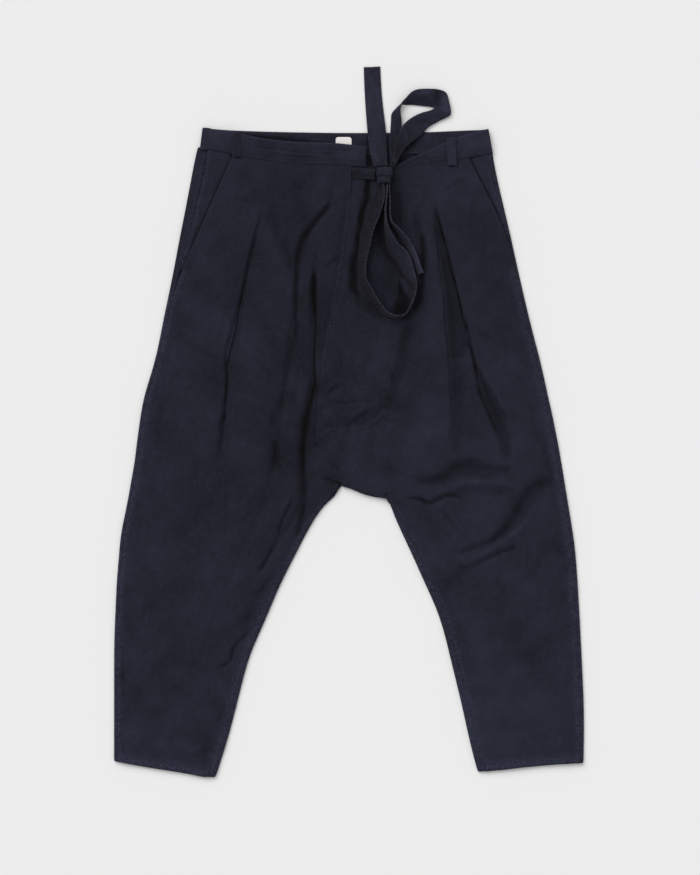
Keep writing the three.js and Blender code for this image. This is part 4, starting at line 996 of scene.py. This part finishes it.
def finish_tape(sheet, stitched, wear_and_painted_light):
    """A folded tape: edges full, pinched along its two rows of stitching, with coordinates that
    run along it. Its left and right edge get wear with a painted highlight, or painted shade below zero."""
    for side, amount in zip(("left", "right"), wear_and_painted_light):
        away, along = from_edge(sheet, side)
        sheet["half"] *= (1 - PINCH * np.exp(-((away - stitched) / 0.8) ** 2))[..., None]
        deepen(sheet, "wear", amount * np.exp(-(away / 0.9) ** 2))
        deepen(sheet, "fresh", -amount * np.exp(-(away / 4) ** 2))
    away, along = from_edge(sheet, "left")
    normal = sheet["half"] / np.linalg.norm(sheet["half"], axis=2, keepdims=True)
    sheet["middle"] += normal * (0.18 * ripple(away, along, 17, 8))[..., None]
    sheet["lay"] = np.stack([away, along, 0 * away], axis=2)
    round_rim(sheet, 0.6)
    return sheet


# The tie's two loops and its lower tail: places along each, with the points of its two edges in a
# row. x and y are taken from the middle of the knot, z from the ground.
HANGING_LOOP = [
    # the crest that stands up, and the foot that rests on the front
    (-1, -13, 20, -4, -13, 15), (1, -23, 22, -8, -23, 12), (0, -36, 23, -14, -36, 11),
    (-4, -51, 22, -21, -51, 10), (-8, -63, 22, -27, -63, 10), (-13, -74, 22, -31, -74, 10),
    (-17, -85, 23, -35, -87, 10), (-20, -100, 24, -37, -102, 10), (-24, -115, 25, -39, -118, 10),
    (-27, -129, 26, -40, -133, 10), (-28, -143, 27, -39, -147, 10), (-26, -157, 27, -37, -160, 10),
    (-19, -169, 27, -30, -175, 10), (-12, -182, 28, -21, -188, 10), (-4, -194, 28, -10, -199, 10),
    (3, -203, 29, 0, -208, 10), (11, -208, 30, 9, -212, 10), (19, -210, 30, 20, -213, 10),
    (27, -209, 30, 28, -211, 10), (34, -204, 30, 34, -206, 10), (40, -194, 30, 39, -195, 10),
    (46, -180, 29, 42, -179, 10), (48, -166, 28, 39, -167, 9.5), (47, -154, 26, 34, -160, 9),
    (43, -138, 24, 28, -149, 9), (38, -121, 23, 21, -138, 9), (30, -110, 23, 13, -125, 9),
    (22, -104, 24, 7, -114, 9), (15, -93, 26, 3, -103, 9), (9, -83, 27, 1, -91, 9), (4, -70, 28, 0, -74, 9),
    (2, -54, 28, 0, -55, 9), (3, -40, 27, 1, -40, 10), (4, -27, 25, 2, -27, 11), (5, -14, 22, 3, -13, 13),
]
STANDING_LOOP = [
    # the edge on the inside of the knot's left arm first, and the other one
    (8, 12, 14, 14, 12, 15), (9, 27, 10.5, 19, 27, 12.5), (8, 45, 6, 23, 44, 8.5), (9, 66, 3, 25, 65, 6.5),
    (10, 83, 1.8, 26, 82, 6), (11, 93, 1.8, 24, 96, 8), (17, 101, 1.6, 25, 104, 10),
    (25, 107, 1.6, 27, 110, 11), (34, 107, 1.8, 33, 117, 10.5), (43, 107, 1.8, 40, 125, 9),
    (52, 106, 1.8, 50, 130, 7.5), (62, 105, 1.9, 67, 131, 6), (71, 104, 2, 82, 130, 4.5),
    (74, 103, 3.4, 93, 125, 3.6), (75, 102, 4.6, 97, 113, 4.8), (74, 101, 5.2, 100, 97, 4.6),
    (67, 98, 5.2, 97, 90, 3.6), (56, 95, 5.2, 81, 82, 3), (45, 90, 5.6, 66, 73, 3.4),
    (36, 84, 6.4, 56, 62, 5.2), (28, 76, 7.6, 44, 53, 7), (22, 65, 9, 34, 44, 9), (18, 52, 11, 27, 35, 12),
    (14, 37, 13.5, 21, 25, 14.5), (11, 23, 15.5, 16, 15, 16.5),
]
HANGING_TAIL = [
    (8, -13, 21, 6, -13, 14), (8, -27, 24, 7, -27, 11), (9, -40, 27, 7, -40, 10), (9, -54, 28, 6, -54, 9),
    (11, -68, 28, 7, -69, 9), (17, -75, 28, 12, -77, 9), (25, -83, 28, 19, -87, 9),
    (32, -91, 28, 25, -98, 9), (41, -104, 28, 33, -110, 9), (49, -122, 28, 41, -126, 9),
    (54, -136, 28, 45, -140, 9), (58, -146, 28, 49, -149, 9),
]
TAPE_WALL = 1.8
TAPE_POINTS = 15        # across a tape
TAPE_INSET = 2.4        # of the stitching along its edges
LOOP_INSET = 2
# Painted shade on the shaded side of the bend in the standing loop and along its lower edge,
# given like the other lines of painted shade.
LOOP_SHADE = [
    (0.6, [127, 468, 5, 132, 480, 7.5, 132, 492, 6, 131, 502, 3]),
    (0.5, [80, 474, 3, 98, 481, 9, 118, 480, 8, 130, 476, 5]),
]
# Creases of the crumpled stretch of tape that runs left from the knot.
STRETCH_FOLDS = [
    (-1.6, 1.3, [3, 369, 16, 370, 30, 369, 41, 367]),
    (0.9, 1.6, [14, 365, 24, 364, 33, 360]),
    (-1.2, 1.1, [27, 368, 33, 363, 40, 356]),
    (0.6, 1.6, [6, 374, 20, 375, 36, 373]),
]


knot_low, knot_high = (np.array(corner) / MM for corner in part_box("tie_knot"))
knot_middle = (knot_low + knot_high) / 2


def strip(node, stations):
    """A stretch of tape through its stations."""
    edges = np.reshape(stations, (-1, 2, 3)).astype(float)
    edges[..., :2] += knot_middle[:2]
    lines = [rounded(edges[:, k])[:, None] for k in (0, 1)]
    across = np.linspace(0, 1, TAPE_POINTS)[:, None]
    middle = lines[0] * (1 - across) + lines[1] * across
    normal = np.cross(np.gradient(middle, axis=0), np.gradient(middle, axis=1))
    half = normal / np.linalg.norm(normal, axis=2, keepdims=True) * TAPE_WALL / 2
    return new_sheet(node, middle, half, np.ones((middle.shape[0] - 1, middle.shape[1] - 1), bool))


for node, stations in (("tie_loop_up", STANDING_LOOP), ("tie_loop_down", HANGING_LOOP),
                       ("tie_tail_down", HANGING_TAIL)):
    sheets[node] = strip(node, stations)
for node, start, down in (("tie_stretch", (20, 371, 7), (1, 0, 0)), ("tie_tail_up", (36, 490, 2), DOWN)):
    sheets[node] = fine_sheet(node, start, down, (1.6, 1.6))
for side in ("left", "right"):
    lap(sheets["tie_tail_up"], side, more=0.9, rise=0.0)
    feather(sheets["tie_stretch"], side, width=5, share=0.4)
stretch = sheets["tie_stretch"]
tug(stretch, 36, 362, 9, 0, -4, 0)
stretch["middle"][..., 2] += press(*xy(stretch), STRETCH_FOLDS)
# The stretches of the tie, and how much lighter or darker each is painted.
TAPES = {"tie_stretch": -0.25, "tie_tail_up": 0.35, "tie_loop_up": 0.2, "tie_loop_down": 0.05,
         "tie_tail_down": 0.25}
for node, level in TAPES.items():
    tape = sheets[node]
    x, y = xy(tape)
    faded = tape["faded"]
    faded += level
    # Painted shade on the hanging loop's left strand and on the lower part of its right strand.
    if node == "tie_loop_down":
        faded -= 0.7 * ramp(x, 54, -12)
        faded -= 0.9 * ramp(y, 218, -20) * ramp(x, 70, 12)
    # The standing tail is painted darker towards the waist.
    if node == "tie_tail_up":
        faded -= 0.45 * ramp(y, 454, -18)
    # Painted highlights on the standing loop's right corner and top, painted shade on the foot of its left
    # arm, along its lower arms and on its bend.
    if node == "tie_loop_up":
        for amount, at, high, size in ((1.4, 151, 477, 120), (0.8, 114, 499, 45), (-0.7, 78, 404, 90)):
            faded += amount * np.exp(-((x - at) ** 2 + (y - high) ** 2) / size)
        faded -= 0.65 * ramp(y, 470, -40)
        tape["fresh"] = painted_shade_along(x, y, LOOP_SHADE)
    # The hanging tail's end gets wear with a painted highlight, and its part near the knot is painted darker
    # as in shade.
    if node == "tie_tail_down":
        rub(tape, "bottom", 5, 0.9)
        faded -= 0.5 * ramp(y, 292, 20)
        faded += 0.5 * ramp(y, 270, -20)
    # The hanging pieces get a painted highlight along their crest edge and painted shade along their foot;
    # the others get wear and painted highlights on both edges.
    wear_and_painted_light = (0.65, -0.5) if node.endswith("down") else (0.4, 0.4)
    pieces[node] = shell(finish_tape(tape, TAPE_INSET, wear_and_painted_light), tape_canvas)
for node, start in (("belt_loop_right", (-168, 415, 10)), ("belt_loop_left", (155, 405, 10))):
    loop = sheets[node] = fine_sheet(node, start, DOWN, (1.2, 1.2))
    loop["middle"][..., 2] -= 2.5 if node.endswith("right") else 0.9
    loop["faded"] += -0.1 if node.endswith("right") else 0.55
    pieces[node] = shell(finish_tape(loop, LOOP_INSET, (0.3, 0.3)), band_canvas)


def square(shape):
    """Grids of u and v that go from -1 to 1 over that many rows and columns, with v upwards."""
    return np.meshgrid(np.linspace(-1, 1, shape[1]), np.linspace(1, -1, shape[0]))


label = fine_sheet("label_blank", (-8, 415, 3), DOWN, (1.5, 1.5))
u, v = square(label["cloth"].shape)
cut_corner = 1.3 * (np.abs(u) * np.abs(v)) ** 7
label["middle"][..., 0] -= np.sign(u) * cut_corner
label["middle"][..., 1] -= np.sign(v) * cut_corner
pieces["label_blank"] = shell(label, satin)


def knot():
    """The tie's knot: a turn of tape drawn tight across, over a narrower pad that the strands leave
    at its foot."""
    reach = (knot_high - knot_low) / 2
    u, v = square((45, 45))
    wrap = 0.5 + 0.5 * np.tanh((v + 0.02) / 0.1)
    narrow = 0.84 + 0.16 * wrap - 0.05 * v ** 2
    dome = ((1 - np.abs(u) ** 5) * (1 - np.abs(v) ** 6)) ** 0.4
    strands = np.cos(u * 8.0 + 1.2 * v) * (1 - wrap) * np.clip(-v, 0, 1)
    line = np.exp(-((v - 0.14 + 0.05 * u) / 0.05) ** 2) * np.clip((u + 0.1) * 4, 0, 1)
    height = reach[2] * (0.72 + 0.28 * wrap) * dome + 0.6 * strands
    height += 0.35 * ripple(9 * u, 9 * v, 9, 41) * dome
    height = np.maximum(height, 0.3)
    x = knot_middle[0] + reach[0] * narrow * u + 0.5 * np.sin(3 * v)
    y = knot_middle[1] + reach[1] * v + 0.5 * np.cos(2.5 * u)
    z = knot_middle[2] + 0 * u
    sheet = new_sheet("tie_knot", np.stack([x, y, z], 2), np.stack([0 * u, 0 * u, height], 2),
                      np.ones((44, 44), bool))
    # Painted highlight along a line across the knot, and painted shade round its sides and under its turn of
    # tape.
    sheet["wear"] = 0.45 * line
    sheet["fresh"] = 0.55 * (1 - dome) + 0.3 * np.exp(-((v + 0.12) / 0.08) ** 2)
    return sheet


pieces["tie_knot"] = shell(knot(), tape_canvas)


# ---- sewing
def stitch_tree():
    """Geometry Nodes: a thread's stitches along lines of points. Each is a slim lozenge that points
    along the attribute along and stands on up."""
    tree = bpy.data.node_groups.new("row_of_stitches", "GeometryNodeTree")
    for name, kind, way in (("Geometry", "Geometry", "INPUT"), ("Pitch", "Float", "INPUT"),
                            ("Length", "Float", "INPUT"), ("Thickness", "Float", "INPUT"),
                            ("Thread", "Material", "INPUT"), ("Geometry", "Geometry", "OUTPUT")):
        tree.interface.new_socket(name, in_out=way, socket_type="NodeSocket" + kind)
    given = put(tree, "NodeGroupInput").outputs
    lines = put(tree, "GeometryNodeMeshToCurve", {"Mesh": given["Geometry"]})
    spaced = put(tree, "GeometryNodeResampleCurve", {"Curve": lines, "Length": given["Pitch"]}, mode="LENGTH")
    turned = None
    for name, axis, pivot in (("along", "X", "AUTO"), ("up", "Z", "X")):
        aim = put(tree, "GeometryNodeInputNamedAttribute", {"Name": name}, data_type="FLOAT_VECTOR")
        inputs = {"Vector": aim, "Rotation": turned} if turned else {"Vector": aim}
        turned = put(tree, "FunctionNodeAlignRotationToVector", inputs, axis=axis, pivot_axis=pivot)
    size = put(tree, "ShaderNodeCombineXYZ", {
        "X": given["Length"], "Y": given["Thickness"], "Z": given["Thickness"]})
    bead = put(tree, "GeometryNodeMeshUVSphere", {"Segments": 6, "Rings": 4, "Radius": 0.5})
    stitches = put(tree, "GeometryNodeInstanceOnPoints", {
        "Points": spaced, "Instance": bead, "Rotation": turned, "Scale": size})
    real = put(tree, "GeometryNodeRealizeInstances", {"Geometry": stitches})
    dyed_thread = put(tree, "GeometryNodeSetMaterial", {"Geometry": real, "Material": given["Thread"]})
    put(tree, "NodeGroupOutput", {"Geometry": dyed_thread})
    return tree


STITCHES = stitch_tree()
STITCH = dict(Pitch=3.0 * MM, Length=2.5 * MM, Thickness=0.5 * MM, Thread=thread)


def sew(name, lines):
    """Sewn stitches along lines, each of (points, along, up) in millimetres, as a plain mesh."""
    points, along, up = (np.concatenate(parts) for parts in zip(*lines))
    starts = np.cumsum([len(line[0]) for line in lines])
    mesh = bpy.data.meshes.new(name)
    edges = [(k - 1, k) for k in range(1, len(points)) if k not in starts]
    mesh.from_pydata((points * MM).tolist(), edges, [])
    keep(mesh, "along", along)
    keep(mesh, "up", up)
    guide = place(name, mesh)
    modifier = guide.modifiers.new("stitches", "NODES")
    modifier.node_group = STITCHES
    for item in STITCHES.interface.items_tree:
        if item.name in STITCH:
            modifier[item.identifier] = STITCH[item.name]
    bpy.context.view_layer.update()
    ready = guide.evaluated_get(bpy.context.evaluated_depsgraph_get())
    made = bpy.data.meshes.new_from_object(ready)
    bpy.data.objects.remove(guide)
    made.shade_smooth()
    return place(name + "_sewn", made)


def row_at(sheet, side, inset, rows=ALL, face=1):
    """A row of stitches on one face of a sheet, at an inset from a side, with its directions."""
    surface = sheet["middle"] + face * sheet["half"]
    normal = face * sheet["half"] / np.linalg.norm(sheet["half"], axis=2, keepdims=True)
    away = facing(from_edge(sheet, side)[0], side)
    both = facing(np.concatenate([surface, normal], axis=2), side)
    line = []
    for points, reach in zip(both, away):
        order = np.argsort(reach)
        line.append([np.interp(inset, reach[order], points[order, k]) for k in range(6)])
    line = np.array(line)
    line = line[(line[:, 1] > rows[0]) & (line[:, 1] < rows[1])]
    ahead = np.gradient(line[:, :3], axis=0)
    return line[:, :3], ahead / np.linalg.norm(ahead, axis=1, keepdims=True), line[:, 3:]


# Rows of stitches: side, inset, and the range of y where they don't go all along.
ROWS = {
    "front_right": [("bottom", HEM_DEPTH - 1, HEM), ("right", 2.6, (-520, -110)), ("left", 6, POCKET),
                    ("left", 2, POCKET), ("right", 4, (-30, 392)), ("right", 12, (78, 392))],
    "front_left": [("bottom", HEM_DEPTH - 1, HEM), ("left", 2.6, (-520, -110)), ("right", 6, POCKET),
                   ("right", 2, POCKET)],
    "waistband_front_right": [("left", 2.2), ("right", 2.2)],
    "waistband_front_left": [("right", 2.2)],
    "waistband_back": [("left", 2.2), ("right", 2.2)],
    "crotch_gusset": [("top", 3)],
}
for node in (*TAPES, "belt_loop_right", "belt_loop_left"):
    inset = TAPE_INSET if node in TAPES else LOOP_INSET
    ROWS[node] = [(side, inset, ALL, face) for side in ("left", "right") for face in (1, -1)]
sewn = {node: [sew("stitches_" + node, [row_at(sheets[node], *row) for row in rows])]
        for node, rows in ROWS.items()}


# ---- stage, light and camera
def sheet_of_paper():
    """The pale sweep that the garment lies on: matt paper."""
    material, tree = blank_material("matt_white_paper")
    grain = put(tree, "ShaderNodeTexNoise", {
        "Vector": put(tree, "ShaderNodeTexCoord").outputs["Object"], "Scale": 900})
    bump = put(tree, "ShaderNodeBump", {"Height": grain, "Distance": 0.02 * MM})
    surface = put(tree, "ShaderNodeBsdfDiffuse", {"Color": linear("F4F4F4"), "Normal": bump})
    put(tree, "ShaderNodeOutputMaterial", {"Surface": surface})
    half = 6.0
    mesh = bpy.data.meshes.new("sweep")
    mesh.from_pydata([(-half, -half, 0), (half, -half, 0), (half, half, 0), (-half, half, 0)], [],
                     [(0, 1, 2, 3)])
    mesh.materials.append(material)
    place("sweep", mesh)


def light_and_camera():
    """A bright room with one big soft light over the upper left, and a camera straight above."""
    world = bpy.data.worlds.new("studio")
    bpy.context.scene.world = world
    world.use_nodes = True
    room = world.node_tree.nodes["Background"]
    room.inputs["Color"].default_value = (1, 1, 1, 1)
    room.inputs["Strength"].default_value = 0.55
    lamp = bpy.data.lights.new("softbox", "SUN")
    lamp.energy = 1.75
    lamp.angle = math.radians(50)
    place("softbox", lamp).rotation_euler = (math.radians(-38), math.radians(-30), 0)
    camera = place("camera", bpy.data.cameras.new("camera"))
    camera.data.lens = 135
    camera.data.clip_end = 50
    view_height = 1.3125
    distance = view_height / camera.data.sensor_width * camera.data.lens
    low, high = cad_box
    middle = (low + high) / 2
    aside = (0.0015, -0.0236)
    cloth_top = 0.005
    camera.location = (middle.x + aside[0], middle.y + aside[1], distance + cloth_top)
    bpy.context.scene.camera = camera
    bpy.context.scene.view_settings.view_transform = "Standard"


sheet_of_paper()
light_and_camera()

# ---- what each piece stands for
# node: slot, how it is held, cut width and length in metres, cut area where it is no rectangle, and
# what it lies on
CUTS = {
    "back_right": ("cloth", "laid", (0.335, 0.985), 0.245, ["sweep"]),
    "back_left": ("cloth", "laid", (0.335, 0.980), 0.237, ["sweep"]),
    "front_right": ("cloth", "laid", (0.335, 0.985), 0.217, ["back_right_sewn"]),
    "front_left": ("cloth", "laid", (0.380, 0.990), 0.225, ["back_left_sewn"]),
    "crotch_gusset": ("cloth", "laid", (0.150, 0.210), 0.0117, ["back_right_sewn", "back_left_sewn"]),
    "pocket_facing_right": ("cloth", "laid", (0.055, 0.205), 0.0061, ["back_right_sewn"]),
    "pocket_facing_left": ("cloth", "laid", (0.046, 0.158), 0.0038, ["back_left_sewn"]),
    "waistband_back": ("band", "laid", (0.032, 0.462), None, ["sweep"]),
    "waistband_front_right": ("band", "laid", (0.032, 0.240), None, ["waistband_back_sewn"]),
    "waistband_front_left": ("band", "folded", (0.034, 0.146), 0.0031, ["waistband_back_sewn"]),
    "belt_loop_right": ("band", "folded", (0.014, 0.036), None, ["waistband_front_right_sewn"]),
    "belt_loop_left": ("band", "folded", (0.014, 0.042), None, ["waistband_front_left_sewn"]),
    "label_blank": ("label", "laid", (0.024, 0.024), None, ["waistband_back_sewn"]),
    "tie_stretch": ("tape", "folded", (0.018, 0.036), 0.00055, ["front_left_sewn"]),
    "tie_tail_up": ("tape", "laid", (0.023, 0.152), None, ["waistband_back_sewn", "sweep"]),
    "tie_loop_up": ("tape", "folded", (0.023, 0.300), 0.0055, ["waistband_back_sewn", "sweep"]),
    "tie_loop_down": ("tape", "folded", (0.023, 0.435), None, ["front_left_sewn"]),
    "tie_tail_down": ("tape", "laid", (0.023, 0.138), None, ["front_left_sewn"]),
}
sewn["tie_stretch"].append(pieces["tie_knot"])
for node, piece in pieces.items():
    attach(piece, "root")
    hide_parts(node)
for node, (slot, held, flat, area, rests_on) in CUTS.items():
    for piece in (pieces[node], *sewn.get(node, [])):
        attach(piece, "root")
